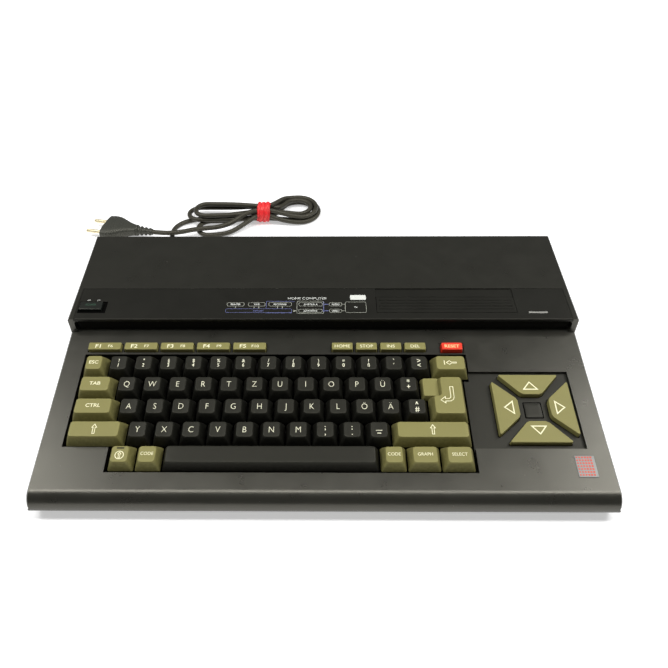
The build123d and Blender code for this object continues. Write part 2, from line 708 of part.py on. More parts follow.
def deck_cover():
    """Rear moulding: deck, side walls and rear wall, with cheeks beside the dark recess."""
    corners = (
        (DECK_FRONT_Y, PARTING_Z),
        (BACK_Y, PARTING_Z),
        (BACK_Y, HEIGHT),
        (DECK_FRONT_Y, LIP_Z),
    )
    solid = extrude(Plane.YZ * Polygon(*corners, align=None), SIDE, both=True)
    below = solid.faces().sort_by(Axis.Z)[0]
    before = solid.faces().sort_by(Axis.Y)[0]
    body = offset(solid, amount=-WALL, openings=[below, before])
    rims = [
        edge
        for edge in body.edges()
        if abs(abs(edge.center().X) - SIDE) < 0.01 and edge.center().Z > LIP_Z
        and abs(edge.center().Y - BACK_Y) > 1
    ]
    body = chamfer(rims, EDGE_BEVEL)
    inner = SIDE - WALL
    ledge_depth = (STRIP_DEPTH - STRIP_LEDGE, STRIP_DEPTH + WALL)
    ledge = block((-inner, inner), ledge_depth, (-WALL - LEDGE_THICKNESS, -WALL))
    seat = block((-RECESS_HALF, RECESS_HALF), (-RECESS_DEPTH, STRIP_DEPTH + SEAM), (-WALL, WALL))
    body = body + DECK * ledge - DECK * seat
    for side in (-1, 1):
        body += cheek(side)
    for x, y in screw_places():
        if y > DECK_FRONT_Y:
            body += boss(x, y, deck_z(y) - WALL)
    low = PARTING_Z + REAR_LOW
    half = SIDE - REAR_MARGIN
    return body - block((-half, half), (REAR_INNER_Y - 1, BACK_Y + 1), (low, low + REAR_HEIGHT))


def cheek(side):
    """End wall of the dark recess, with the recess's rounded corners."""
    low = PARTING_Z
    high = deck_z(DECK_FRONT_Y) - WALL
    wall = block((RECESS_HALF, SIDE - WALL / 2), (DECK_FRONT_Y, SHADOW_BACK_Y), (low, high))
    floor = panel_z(SHADOW_BACK_Y) + 0.05
    inner = RECESS_HALF - RECESS_CORNER
    corner = block((inner, RECESS_HALF + 1), (DECK_FRONT_Y, RECESS_Y), (floor, high))
    tall = high - floor
    opening = RectangleRounded(4 * tall, tall, RECESS_CORNER)
    middle = Pos(RECESS_HALF - 2 * tall, RECESS_Y + 1, (floor + high) / 2)
    corner -= middle * Rot(90, 0, 0) * extrude(opening, RECESS_DEPTH + 2)
    piece = wall + corner
    return piece if side > 0 else mirror(piece, Plane.YZ)


def door_hole():
    """Clear hole for the door: left, right, front, back in the deck frame."""
    area = (DOOR_LEFT_X, DOOR_LEFT_X + DOOR_WIDTH, DOOR_FRONT, DOOR_BACK)
    return shrink(area, -DOOR_GAP, -DOOR_GAP)


def button_area():
    """Power button cap: left, right, front, back in the deck frame."""
    left = BUTTON_LEFT - SIDE
    return left, left + BUTTON_WIDTH, BUTTON_FRONT, BUTTON_FRONT + BUTTON_DEPTH


def control_strip():
    """Inlaid front strip of the deck with the cartridge chute and the button guide below it."""
    plate = block((-STRIP_HALF, STRIP_HALF), (0, STRIP_DEPTH), (-WALL, 0))
    lip = plate.edges().filter_by(Axis.X).group_by(Axis.Y)[0].sort_by(Axis.Z)[-1]
    body = fillet(lip, LIP_RADIUS)
    hole = door_hole()
    around = shrink(hole, -CHUTE_WALL, -CHUTE_WALL)
    body += block(around[:2], around[2:], (-CHUTE_DEPTH, -WALL))
    button = button_area()
    guide = shrink(button, -BUTTON_GAP, -BUTTON_GAP)
    tube = shrink(guide, -GUIDE_WALL, -GUIDE_WALL)
    body += block(tube[:2], tube[2:], (-BUTTON_BODY - BUTTON_TRAVEL, -WALL))
    body -= block(hole[:2], hole[2:], (-CHUTE_DEPTH - 1, 1))
    body -= block(guide[:2], guide[2:], (-BUTTON_BODY - BUTTON_TRAVEL - 1, 1))
    left, right, front, back = button
    body -= block(
        (left - BUTTON_RECESS_LEFT, right + BUTTON_RECESS_RIGHT),
        (front - BUTTON_RECESS_FRONT, back + BUTTON_RECESS_BACK),
        (-BUTTON_RECESS, 1),
    )
    label_front = hole[3] + LABEL_RECESS_GAP
    body -= block(hole[:2], (label_front, label_front + LABEL_RECESS_DEPTH), (-LABEL_RECESS_SINK, 1))
    lamp = shrink(lamp_area(), -LAMP_GAP, -LAMP_GAP)
    body -= block(lamp[:2], lamp[2:], (-WALL - 1, 1))
    bore = HINGE_PIN_LENGTH + DOOR_GAP
    for end in (hole[0] - bore, hole[1] + bore):
        pin_bore = Rot(0, 90, 0) * Cylinder(HINGE_PIN + HINGE_CLEARANCE, 2 * bore)
        body -= Pos(end, DOOR_BACK - HINGE_INSET, -HINGE_DROP) * pin_bore
    return body


def lamp_area():
    """Power lamp lens: left, right, front, back in the deck frame."""
    left = SIDE - LAMP_RIGHT - LAMP_WIDTH
    return left, left + LAMP_WIDTH, LAMP_FRONT, LAMP_FRONT + LAMP_DEPTH


def power_lamp():
    """Lens bar of the power lamp."""
    area = lamp_area()
    return block(area[:2], area[2:], (LAMP_PROUD - LAMP_THICKNESS, LAMP_PROUD))


def power_button():
    """Raised push button with softened upper edges."""
    area = button_area()
    body = block(area[:2], area[2:], (-BUTTON_BODY, BUTTON_HEIGHT))
    return fillet(body.edges().group_by(Axis.Z)[-1], BUTTON_ROUNDING)


def power_switch():
    """Mains switch hung under the button guide."""
    area = shrink(button_area(), -BUTTON_GAP - GUIDE_WALL, -BUTTON_GAP - GUIDE_WALL)
    top = -BUTTON_BODY - BUTTON_TRAVEL
    body = block(area[:2], area[2:], (top - SWITCH_HEIGHT, top))
    x, w = middle_of(area)
    return body - prism(x, w, top - PLUNGER_PIT, top + 1, PLUNGER_RADIUS)


def cartridge_door():
    """Flap over the top slot: grooved plate with a hinge barrel and end pins along its back."""
    right = DOOR_LEFT_X + DOOR_WIDTH
    plate = block((DOOR_LEFT_X, right), (DOOR_FRONT, DOOR_BACK), (-DOOR_THICKNESS, 0))
    axle = Pos(DOOR_MIDDLE_X, DOOR_BACK - HINGE_INSET, -HINGE_DROP) * Rot(0, 90, 0)
    plate += axle * prism(0, 0, -DOOR_WIDTH / 2, DOOR_WIDTH / 2, HINGE_BARREL, 8)
    plate += axle * Cylinder(HINGE_PIN, DOOR_WIDTH + 2 * HINGE_PIN_LENGTH)
    pitch = (DOOR_DEPTH - 2 * DOOR_RIM) / DOOR_GROOVE_COUNT
    grooved = (DOOR_LEFT_X + DOOR_RIM, right - DOOR_RIM)
    for i in range(DOOR_GROOVE_COUNT):
        w = DOOR_FRONT + DOOR_RIM + (i + 0.5) * pitch
        plate -= block(grooved, (w - GROOVE_WIDTH / 2, w + GROOVE_WIDTH / 2), (-GROOVE_DEPTH, 1))
    return plate


def shadow_strip():
    """Dark strip at the back of the recess under the deck lip."""
    high = deck_z(RECESS_Y) - WALL / DECK_COS
    low = panel_z(SHADOW_BACK_Y)
    return block((-STRIP_HALF, STRIP_HALF), (RECESS_Y, SHADOW_BACK_Y), (low, high))


def lower_case():
    """Shallow tray with the undercut nose, screw bosses, board posts and air slots."""
    turn = math.radians(UNDERCUT_SLOPE)
    arc_y = FRONT_Y + NOSE_UNDERCUT * (1 - math.sin(turn))
    arc_z = PARTING_Z - NOSE_UNDERCUT * math.cos(turn)
    foot_y = arc_y + (arc_z - FOOT_HEIGHT) / math.tan(turn)
    centre = (FRONT_Y + NOSE_UNDERCUT, PARTING_Z)
    nose = CenterArc(centre, NOSE_UNDERCUT, 180, 90 - UNDERCUT_SLOPE)
    lines = Polyline(
        (arc_y, arc_z),
        (foot_y, FOOT_HEIGHT),
        (BACK_Y, FOOT_HEIGHT),
        (BACK_Y, PARTING_Z),
        (FRONT_Y, PARTING_Z),
    )
    solid = extrude(Plane.YZ * make_face([nose, *lines.edges()]), SIDE, both=True)
    body = offset(solid, amount=-WALL, openings=[solid.faces().sort_by(Axis.Z)[-1]])
    floor = FOOT_HEIGHT + WALL
    for x, y in screw_places():
        body += prism(x, y, floor, PARTING_Z, BOSS_RADIUS)
        body -= prism(x, y, FOOT_HEIGHT - 1, PARTING_Z + 1, SCREW_RADIUS + SCREW_CLEARANCE)
        head = SCREW_HEAD_RADIUS + SCREW_CLEARANCE
        body -= prism(x, y, FOOT_HEIGHT - 1, FOOT_HEIGHT + SCREW_HEAD_HEIGHT, head)
    for x, y in board_posts():
        body += prism(x, y, floor, MAIN_BOARD_Z, BOARD_POST_RADIUS)
    middle = (AIR_SLOT_COUNT - 1) / 2
    y = BACK_Y - TRANSFORMER_FROM_BACK + AIR_SLOT_OFFSET
    for i in range(AIR_SLOT_COUNT):
        x = TRANSFORMER_FROM_LEFT - SIDE + (i - middle) * AIR_SLOT_PITCH
        slot = ((x - AIR_SLOT_WIDTH / 2, x + AIR_SLOT_WIDTH / 2), (y, y + AIR_SLOT_LENGTH))
        body -= block(*slot, (FOOT_HEIGHT - 1, floor + 1))
    return body


def board_area():
    """Main board: left, right, front, back."""
    return (
        MAIN_BOARD_LEFT - SIDE,
        SIDE - MAIN_BOARD_RIGHT,
        DECK_FRONT_Y + MAIN_BOARD_FRONT,
        REAR_PANEL_Y - MAIN_BOARD_BACK,
    )


def board_posts():
    """Posts under the main board."""
    left, right, front, back = shrink(board_area(), 12, 6)
    middle = (left + right) / 2
    return [(x, y) for x in (left, middle, right) for y in (front, back)]


def main_board():
    """Main circuit board with its larger chips, clear of the corner bosses."""
    left, right, front, back = board_area()
    body = block((left, right), (front, back), (MAIN_BOARD_Z, BOARD_TOP))
    for x, y in screw_places():
        body -= prism(x, y, MAIN_BOARD_Z - 1, BOARD_TOP + 1, BOSS_RADIUS + BOARD_CLEARANCE)
    half = CHIP_WIDTH / 2
    front += CHIP_FRONT
    reach = REAR_PANEL_Y - MODULATOR_DEPTH - CHIP_GAP - front
    heights = (BOARD_TOP, BOARD_TOP + CHIP_HEIGHT)
    for i in range(CHIP_COUNT):
        x = left + FIRST_CHIP + i * CHIP_PITCH
        length = CHIP_SHARE * reach if i else reach
        body += block((x - half, x + half), (front, front + length), heights)
    return body


def top_connector_y():
    """Middle of the top slot at the height of its connector."""
    middle = (DOOR_FRONT + DOOR_BACK) / 2
    drop = LIP_Z - BOARD_TOP - CONNECTOR_HEIGHT
    return DECK_FRONT_Y + middle * DECK_COS + drop * math.sin(math.radians(DECK_SLOPE))


def cartridge_connectors():
    """Edge connectors of the top slot and of the rear slot."""
    half = CONNECTOR_LENGTH / 2
    x, y = DOOR_MIDDLE_X, top_connector_y()
    top = BOARD_TOP + CONNECTOR_HEIGHT
    deep = CONNECTOR_DEPTH / 2
    gap = CONNECTOR_SLOT / 2
    bore = half - CONNECTOR_WALL
    upright = block((x - half, x + half), (y - deep, y + deep), (BOARD_TOP, top))
    upright -= block((x - bore, x + bore), (y - gap, y + gap), (top - CONNECTOR_PIT, top + 1))
    x = SLOT_MIDDLE_X
    back = REAR_PANEL_Y - REAR_CONNECTOR_SETBACK
    rear = block((x - half, x + half), (back - REAR_CONNECTOR_DEPTH, back), (BOARD_TOP, PORT_Z + deep))
    rear -= block((x - bore, x + bore), (back - CONNECTOR_PIT, back + 1), (PORT_Z - gap, PORT_Z + gap))
    return Compound([upright, rear])


def d_outline(width, height):
    """Outline of a D-shaped or trapezium socket."""
    short = width - height * D_NARROWING
    return Polygon(
        (-width / 2, height / 2),
        (-short / 2, -height / 2),
        (short / 2, -height / 2),
        (width / 2, height / 2),
        align=None,
    )


def face_out(x, z, y):
    """Frame on the rear face whose own Z points backward."""
    return Plane(origin=(x, y, z), x_dir=(-1, 0, 0), z_dir=(0, 1, 0))


def port_places():
    """Middles of the rear sockets, set out leftward from the cartridge slot."""
    widths = [("printer", PRINTER_WIDTH + 2 * SOCKET_MARGIN)]
    widths += [("joystick", D_WIDTH + 2 * SOCKET_MARGIN)] * D_SOCKET_COUNT
    widths += [("din", 2 * DIN_RADIUS + SOCKET_MARGIN)] * DIN_SOCKET_COUNT
    widths += [("modulator", MODULATOR_WIDTH)]
    places = {name: [] for name, _ in widths}
    edge = SLOT_MIDDLE_X - SLOT_LENGTH / 2 - 2 * PORT_SPACING
    for name, width in widths:
        places[name].append(edge - width / 2)
        edge -= width + PORT_SPACING
    return places


def socket_base(x, half_width):
    """Body of a socket, standing on the main board and touching the rear panel."""
    depth = (REAR_PANEL_Y - SOCKET_DEPTH, REAR_PANEL_Y)
    return block((x - half_width, x + half_width), depth, (BOARD_TOP, PORT_Z + SOCKET_RISE))


def din_sockets():
    """Two round sockets."""
    sockets = []
    for x in port_places()["din"]:
        end = REAR_INNER_Y + SOCKET_PROUD
        body = socket_base(x, DIN_RADIUS + SOCKET_MARGIN / 2)
        body += along_y(x, PORT_Z, REAR_PANEL_Y - 1, end, DIN_RADIUS)
        body -= along_y(x, PORT_Z, end - DIN_BORE_DEPTH, end + 1, DIN_BORE)
        sockets.append(body)
    return Compound(sockets)


def shroud_socket(x, width, height):
    """A socket with a D-shaped shroud that stands out through the rear panel."""
    body = socket_base(x, width / 2 + SOCKET_MARGIN)
    frame = face_out(x, PORT_Z, REAR_PANEL_Y)
    body += frame * extrude(d_outline(width, height), REAR_THICKNESS + SOCKET_PROUD)
    inner = d_outline(width - 2 * D_WALL, height - 2 * D_WALL)
    bore = face_out(x, PORT_Z, REAR_INNER_Y + SOCKET_PROUD - D_BORE_DEPTH)
    return body - bore * extrude(inner, D_BORE_DEPTH + 1)


def joystick_sockets():
    """Two nine-pin sockets."""
    return Compound([shroud_socket(x, D_WIDTH, D_HEIGHT) for x in port_places()["joystick"]])


def printer_socket():
    """Wide socket for a printer."""
    return shroud_socket(port_places()["printer"][0], PRINTER_WIDTH, PRINTER_HEIGHT)


def rf_modulator():
    """Screened modulator box with its aerial jack."""
    half = MODULATOR_WIDTH / 2
    x = port_places()["modulator"][0]
    top = BOARD_TOP + MODULATOR_HEIGHT
    depth = (REAR_PANEL_Y - MODULATOR_DEPTH, REAR_PANEL_Y)
    body = block((x - half, x + half), depth, (BOARD_TOP, top))
    body += along_y(x, PORT_Z, REAR_PANEL_Y - 1, BACK_Y - JACK_SETBACK, JACK_RADIUS)
    return body - along_y(x, PORT_Z, REAR_PANEL_Y, BACK_Y + 1, JACK_BORE)


def rear_panel():
    """Sheet behind the rear opening, with holes for the sockets, the slot and the gland."""
    half = SIDE - REAR_MARGIN + REAR_RIM
    low = PARTING_Z + REAR_LOW
    body = block((-half, half), (REAR_PANEL_Y, REAR_INNER_Y), (low, low + REAR_HEIGHT + REAR_RIM))
    ends = (REAR_PANEL_Y - 1, REAR_INNER_Y + 1)
    places = port_places()
    for x in places["din"]:
        body -= along_y(x, PORT_Z, *ends, DIN_RADIUS + PORT_GAP)
    body -= along_y(places["modulator"][0], PORT_Z, *ends, JACK_RADIUS + PORT_GAP)
    body -= along_y(GLAND_X, GLAND_Z, *ends, RELIEF_RADIUS + PORT_GAP)
    frames = [(x, D_WIDTH, D_HEIGHT) for x in places["joystick"]]
    frames.append((places["printer"][0], PRINTER_WIDTH, PRINTER_HEIGHT))
    for x, width, height in frames:
        outline = d_outline(width + 2 * PORT_GAP, height + 2 * PORT_GAP)
        body -= face_out(x, PORT_Z, REAR_PANEL_Y - 1) * extrude(outline, REAR_THICKNESS + 2)
    x0, x1 = SLOT_MIDDLE_X - SLOT_LENGTH / 2, SLOT_MIDDLE_X + SLOT_LENGTH / 2
    return body - block((x0, x1), ends, (PORT_Z - SLOT_HEIGHT / 2, PORT_Z + SLOT_HEIGHT / 2))


def power_transformer():
    """Mains transformer: laminated core round a wound bobbin, standing on the floor."""
    x = TRANSFORMER_FROM_LEFT - SIDE
    y = BACK_Y - TRANSFORMER_FROM_BACK
    floor = FOOT_HEIGHT + WALL
    core = block(
        (x - CORE_WIDTH / 2, x + CORE_WIDTH / 2),
        (y - CORE_DEPTH / 2, y + CORE_DEPTH / 2),
        (floor, floor + CORE_HEIGHT),
    )
    low = floor + (CORE_HEIGHT - COIL_HEIGHT) / 2
    coil = block(
        (x - COIL_WIDTH / 2, x + COIL_WIDTH / 2),
        (y - COIL_DEPTH / 2, y + COIL_DEPTH / 2),
        (low, low + COIL_HEIGHT),
    )
    return core + fillet(coil.edges().filter_by(Axis.Z), COIL_ROUNDING)


def rubber_feet():
    """Four round feet."""
    spots = [
        (side * (SIDE - FOOT_INSET), y)
        for side in (-1, 1)
        for y in (FRONT_Y + FRONT_FOOT_INSET, BACK_Y - FOOT_INSET)
    ]
    return Compound([prism(x, y, 0, FOOT_HEIGHT, FOOT_RADIUS, 12) for x, y in spots])


def case_screws():
    """Pan-head screws from below."""
    low = FOOT_HEIGHT + SCREW_HEAD_HEIGHT
    single = prism(0, 0, FOOT_HEIGHT + SCREW_CLEARANCE, low, SCREW_HEAD_RADIUS)
    single += prism(0, 0, low, low + SCREW_LENGTH, SCREW_RADIUS)
    return Compound([Pos(x, y, 0) * single for x, y in screw_places()])


# Mains cord, on the table behind the case

LEAD_ROUTE = (
    (GLAND_X, BACK_Y + RELIEF_LENGTH, GLAND_Z),
    (GLAND_X, 170.0, GLAND_Z),
    (-156.0, 194.0, 3.0),
    (-160.5, 231.0, 2.9),
    (-134.0, 251.0, 7.0),
)
TAIL_STRAIGHT = 14.0       # the tail starts in line with the plug
TAIL_ROUTE = (
    (-149.5, 213.0, 8.8),
    (-135.5, 222.5, 8.4),
)
HANK_SECTIONS = (
    # x, middle y, half width, half height
    (-147.0, 247.0, 11.0, 5.2),
    (-135.0, 241.0, 22.0, 7.8),
    (-110.0, 239.5, 25.5, 8.8),
    (-72.0, 248.5, 9.3, 9.3),
    (-54.0, 249.5, 9.3, 9.3),
    (-40.0, 259.0, 20.0, 8.6),
    (-24.0, 264.0, 26.0, 8.2),
    (-8.0, 263.5, 19.0, 6.5),
    (-1.0, 262.5, 9.0, 4.5),
)
WAIST = (3, 4)             # the two sections inside the tie
HANK_SIDE_COUNT = 16
TIE_WIDTH = 12.0
TIE_THICKNESS = 1.1
TIE_GAP = 0.25


def plug_frame():
    """Frame of the plug: own X runs from the pin face to the cord."""
    middle = Pos(*PLUG_PLACE, PLUG_THICKNESS / 2 + TABLE_GAP)
    return Plane(middle * Rot(0, 0, PLUG_TURN) * Rot(0, -PLUG_PITCH, 0))


def corner_radii(points):
    """Arc radius at each corner: 0.45 of its shorter run over the tangent of half the turn."""
    vectors = [Vector(*b) - Vector(*a) for a, b in zip(points, points[1:])]
    radii = []
    for before, after in zip(vectors, vectors[1:]):
        half_turn = math.radians(before.get_angle(after)) / 2
        radii.append(0.45 * min(before.length, after.length) / math.tan(half_turn))
    return radii


def cord_tube(name, points):
    """Round tube along straight runs joined by tangent arcs."""
    radii = corner_radii(points)
    path = FilletPolyline(*points, radius=radii)
    tube = sweep(Plane(origin=path @ 0, z_dir=path % 0) * Circle(CORD_DIAMETER / 2), path=path)
    ideal = math.pi * CORD_DIAMETER**2 / 4 * path.length
    print(name, "length", round(path.length, 1), "radii", [round(r, 1) for r in radii])
    print(name, "volume over section times length", round(tube.volume / ideal, 4))
    return tube


def plug_axis(reach):
    """Point on the plug's axis beyond the end of its sleeve."""
    return tuple(plug_frame().from_local_coords((PLUG_LENGTH + PLUG_RELIEF + reach, 0, 0)))


def strain_relief():
    """Gland with a flange inside the rear panel and a tapered sleeve over the cord."""
    inside = REAR_PANEL_Y - GLAND_FLANGE
    body = along_y(GLAND_X, GLAND_Z, inside, REAR_PANEL_Y, GLAND_FLANGE_RADIUS)
    body += along_y(GLAND_X, GLAND_Z, inside, BACK_Y, RELIEF_RADIUS)
    ends = []
    for reach, radius in ((0, RELIEF_RADIUS), (RELIEF_LENGTH, RELIEF_END_RADIUS)):
        ends.append(Pos(0, 0, reach) * RegularPolygon(radius, ROUND_SIDE_COUNT))
    return body + Pos(GLAND_X, BACK_Y, GLAND_Z) * Rot(-90, 0, 0) * loft(ends, ruled=True)


def hank():
    """Outer shape of the tied bundle: two flat lobes and the waist inside the tie."""
    sections = []
    for i, (x, y, half_width, half_height) in enumerate(HANK_SECTIONS):
        low = TABLE_GAP + (TIE_GAP + TIE_THICKNESS if i in WAIST else 0)
        frame = Plane(origin=(x, y, low + half_height), x_dir=(0, 1, 0), z_dir=(1, 0, 0))
        angles = [2 * math.pi * k / HANK_SIDE_COUNT for k in range(HANK_SIDE_COUNT)]
        ring = [(half_width * math.cos(a), half_height * math.sin(a)) for a in angles]
        sections.append(frame * Polygon(*ring, align=None))
    return loft(sections, ruled=True)


def cord_tie():
    """Soft band round the waist of the bundle."""
    (x0, y0, half, _), (x1, y1, _, _) = (HANK_SECTIONS[i] for i in WAIST)
    inner = (half + TIE_GAP) / math.cos(math.pi / ROUND_SIDE_COUNT)
    height = TABLE_GAP + TIE_THICKNESS + TIE_GAP + half
    middle = Vector((x0 + x1) / 2, (y0 + y1) / 2, height)
    frame = Plane(origin=middle, x_dir=(0, 0, 1), z_dir=(x1 - x0, y1 - y0, 0))
    reach = TIE_WIDTH / 2
    band = prism(0, 0, -reach, reach, inner + TIE_THICKNESS, ROUND_SIDE_COUNT)
    return frame * (band - prism(0, 0, -reach - 1, reach + 1, inner, ROUND_SIDE_COUNT))


def mains_plug():
    """Flat two-pin plug with a ribbed sleeve."""
    sections = []
    for place, width, thickness in PLUG_SECTIONS:
        frame = Plane(origin=(place * PLUG_LENGTH, 0, 0), x_dir=(0, 1, 0), z_dir=(1, 0, 0))
        outline = Rectangle(width * PLUG_WIDTH, thickness * PLUG_THICKNESS)
        sections.append(frame * chamfer(outline.vertices(), PLUG_BEVEL * thickness * PLUG_THICKNESS))
    body = loft(sections, ruled=True)
    along = Rot(0, 90, 0)
    core = CORD_DIAMETER / 2 + PLUG_SLEEVE_WALL
    body += Pos(PLUG_LENGTH - 1, 0, 0) * along * prism(0, 0, 0, PLUG_RELIEF + 1, core, 12)
    pitch = PLUG_RELIEF / PLUG_RIB_COUNT
    for i in range(PLUG_RIB_COUNT):
        start = PLUG_LENGTH + (i + 0.4) * pitch
        radius = core + PLUG_RIB_HEIGHT * (1 - PLUG_RIB_TAPER * i)
        body += Pos(start, 0, 0) * along * prism(0, 0, 0, pitch / 2, radius, 12)
    for side in (-1, 1):
        foot = Pos(-PIN_LENGTH, side * PIN_SPACING / 2, 0)
        body += foot * along * prism(0, 0, 0, PIN_LENGTH + 1, PIN_RADIUS, 12)
    return plug_frame() * body


def build_nodes():
    """Every node by name, in the frame of the case."""
    nodes = {name: PANEL * solid for name, solid in key_solids().items()}
    for function in (key_plate, keyboard_board, key_switches, arrow_plate):
        nodes[function.__name__] = PANEL * function()
    for function in (control_strip, power_lamp, power_button, power_switch, cartridge_door):
        nodes[function.__name__] = DECK * function()
    for function in (
        keyboard_surround,
        deck_cover,
        lower_case,
        shadow_strip,
        rear_panel,
        rubber_feet,
        case_screws,
        main_board,
        cartridge_connectors,
        power_transformer,
        rf_modulator,
        din_sockets,
        joystick_sockets,
        printer_socket,
        strain_relief,
        mains_plug,
        cord_tie,
    ):
        nodes[function.__name__] = function()
    nodes["cord_hank"] = hank()
    nodes["cord_lead"] = cord_tube("cord_lead", LEAD_ROUTE)
    tail = (plug_axis(0), plug_axis(TAIL_STRAIGHT), *TAIL_ROUTE)
    nodes["cord_tail"] = cord_tube("cord_tail", tail)
    return nodes


if __name__ == "__main__":
    built = build_nodes()
    for node_name, node in built.items():
        node.label = node_name
        export_step(node, f"parts/{node_name}.step")
    hinge = DECK.from_local_coords((DOOR_MIDDLE_X, DOOR_BACK - HINGE_INSET, -HINGE_DROP))
    print("case", round(WIDTH, 2), round(DEPTH, 2), round(HEIGHT, 2), "nodes", len(built))
    print("door hinge", hinge)
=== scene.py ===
"""Looks of a home computer: mouldings, keys with legends, sockets and a mains cord tied in a hank.

Shapes are worked out in millimetres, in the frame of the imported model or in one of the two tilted
frames of the case (x, distance up the slope, height above the face), and become metres in a mesh.
"""

from __future__ import annotations

import json
import logging
import math
from dataclasses import dataclass, field, replace
from enum import Enum
from typing import Callable

import bmesh
import bpy
import numpy as np
from mathutils import Matrix, Vector

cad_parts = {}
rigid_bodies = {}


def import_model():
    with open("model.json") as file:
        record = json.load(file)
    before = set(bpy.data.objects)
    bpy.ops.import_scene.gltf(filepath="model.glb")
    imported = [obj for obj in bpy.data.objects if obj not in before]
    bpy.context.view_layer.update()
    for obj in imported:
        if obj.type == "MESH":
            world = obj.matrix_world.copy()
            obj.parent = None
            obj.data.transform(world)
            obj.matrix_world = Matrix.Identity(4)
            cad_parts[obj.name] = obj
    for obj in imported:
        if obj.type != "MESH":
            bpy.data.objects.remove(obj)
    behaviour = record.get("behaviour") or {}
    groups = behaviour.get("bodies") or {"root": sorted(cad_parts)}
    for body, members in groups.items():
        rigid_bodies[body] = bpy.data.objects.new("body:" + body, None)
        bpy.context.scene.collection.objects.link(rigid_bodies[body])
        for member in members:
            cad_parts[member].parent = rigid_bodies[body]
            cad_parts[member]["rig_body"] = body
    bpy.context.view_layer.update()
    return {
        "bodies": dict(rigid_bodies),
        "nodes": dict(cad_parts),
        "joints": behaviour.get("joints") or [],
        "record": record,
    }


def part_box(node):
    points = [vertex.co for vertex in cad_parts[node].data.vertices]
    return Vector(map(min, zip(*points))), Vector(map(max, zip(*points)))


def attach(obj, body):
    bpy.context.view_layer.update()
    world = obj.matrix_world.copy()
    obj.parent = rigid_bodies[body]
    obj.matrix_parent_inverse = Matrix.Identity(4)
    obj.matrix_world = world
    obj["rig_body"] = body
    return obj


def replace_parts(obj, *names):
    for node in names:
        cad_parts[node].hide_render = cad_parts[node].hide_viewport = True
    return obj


LOG = logging.getLogger("scene")
Array = np.ndarray
Made = bpy.types.Object
Node = bpy.types.Node
Socket = bpy.types.NodeSocket
Tree = bpy.types.NodeTree
Colour = tuple[float, float, float]
Pair = tuple[float, float]
Pairs = tuple[Pair, ...]
Point = tuple[float, float, float]
Spans = tuple[Pair, Pair]
Steps = tuple[int, int]
MM = 0.001
FULL_TURN = 2 * math.pi
SHARP_ANGLE = math.radians(38)
BEVEL_ANGLE = math.radians(30)
FLAT_ANGLE = math.radians(0.5)
WELD = 1e-6


# Surfaces


@dataclass
class Patch:
    """A closed surface: points in millimetres, faces as rows of indices, and for each point a value
    up to 1 that is highest where worn and below 0 where painted shade darkens a key cap's sides.
    """

    points: Array
    quads: Array = field(default_factory=lambda: np.zeros((0, 4), int))
    tris: Array = field(default_factory=lambda: np.zeros((0, 3), int))
    wear: Array | None = None

    def worn(self) -> Array:
        """Wear of each point, with painted shade below 0, and nothing where none is given."""
        return np.zeros(len(self.points)) if self.wear is None else self.wear

    def at(self, points: Array) -> Patch:
        """The same faces on other points."""
        return Patch(points, self.quads, self.tris, self.wear)

    def shifted(self, x: float, y: float, z: float) -> Patch:
        """The surface moved by a step."""
        return self.at(self.points + np.array([x, y, z]))


def join(patches: list[Patch]) -> Patch:
    """One surface out of several: their points in a row, and face indices raised to match.

    Args:
        patches: the surfaces, in order.

    Returns:
        The joined surface.
    """
    starts = np.cumsum([0] + [len(patch.points) for patch in patches[:-1]])
    return Patch(
        np.concatenate([patch.points for patch in patches]),
        np.concatenate([patch.quads + start for patch, start in zip(patches, starts)]),
        np.concatenate([patch.tris + start for patch, start in zip(patches, starts)]),
        np.concatenate([patch.worn() for patch in patches]),
    )


def circle(steps: int) -> Array:
    """Unit circle as points (cosine, sine), anticlockwise from the right."""
    turn = np.linspace(0, FULL_TURN, steps, endpoint=False)
    return np.stack([np.cos(turn), np.sin(turn)], axis=1)


def levels(outlines: list[Array], heights: tuple[float, ...]) -> Array:
    """Rings of a pile: each flat outline lifted to its own height.

    Args:
        outlines: outlines of shape (n, 2).
        heights: height of each.

    Returns:
        Rings of shape (levels, n, 3).
    """
    rings = np.pad(np.stack(outlines), ((0, 0), (0, 0), (0, 1)))
    rings[:, :, 2] = np.array(heights)[:, None]
    return rings


def walls(rings: Array) -> Array:
    """Quads from each ring to the next, and last from the last ring back to the first.

    Args:
        rings: points of shape (levels, around, 3).

    Returns:
        Indices of shape (levels, around, 4).
    """
    index = np.arange(rings.shape[0] * rings.shape[1]).reshape(rings.shape[:2])
    after = np.roll(index, -1, axis=1)
    upper, upper_after = np.roll(index, -1, axis=0), np.roll(after, -1, axis=0)
    return np.stack([index, after, upper_after, upper], axis=-1)


def hoop(rings: Array) -> Patch:
    """Closed band: rings round its cross-section, the last one joined to the first."""
    return Patch(rings.reshape(-1, 3), walls(rings).reshape(-1, 4))


def stack(rings: Array) -> Patch:
    """Skin over a pile of rings, each joined to the next by quads and closed by a fan at each end.

    Args:
        rings: points of shape (levels, around, 3), running anticlockwise seen from the last ring.

    Returns:
        The skin, with its faces outward.
    """
    count, around, _ = rings.shape
    index = np.arange(count * around).reshape(count, around)
    after = np.roll(index, -1, axis=1)
    points = rings.reshape(-1, 3)
    low, high = len(points), len(points) + 1
    start = np.stack([after[0], index[0], np.full(around, low)], axis=-1)
    end = np.stack([index[-1], after[-1], np.full(around, high)], axis=-1)
    middles = rings[[0, -1]].mean(axis=1)
    quads = walls(rings)[:-1].reshape(-1, 4)
    return Patch(np.concatenate([points, middles]), quads, np.concatenate([start, end]))


def rectangle(half_x: float, half_y: float) -> Array:
    """Corners of a rectangle about the origin, anticlockwise from the right rear."""
    return np.array([[half_x, half_y], [-half_x, half_y], [-half_x, -half_y], [half_x, -half_y]])


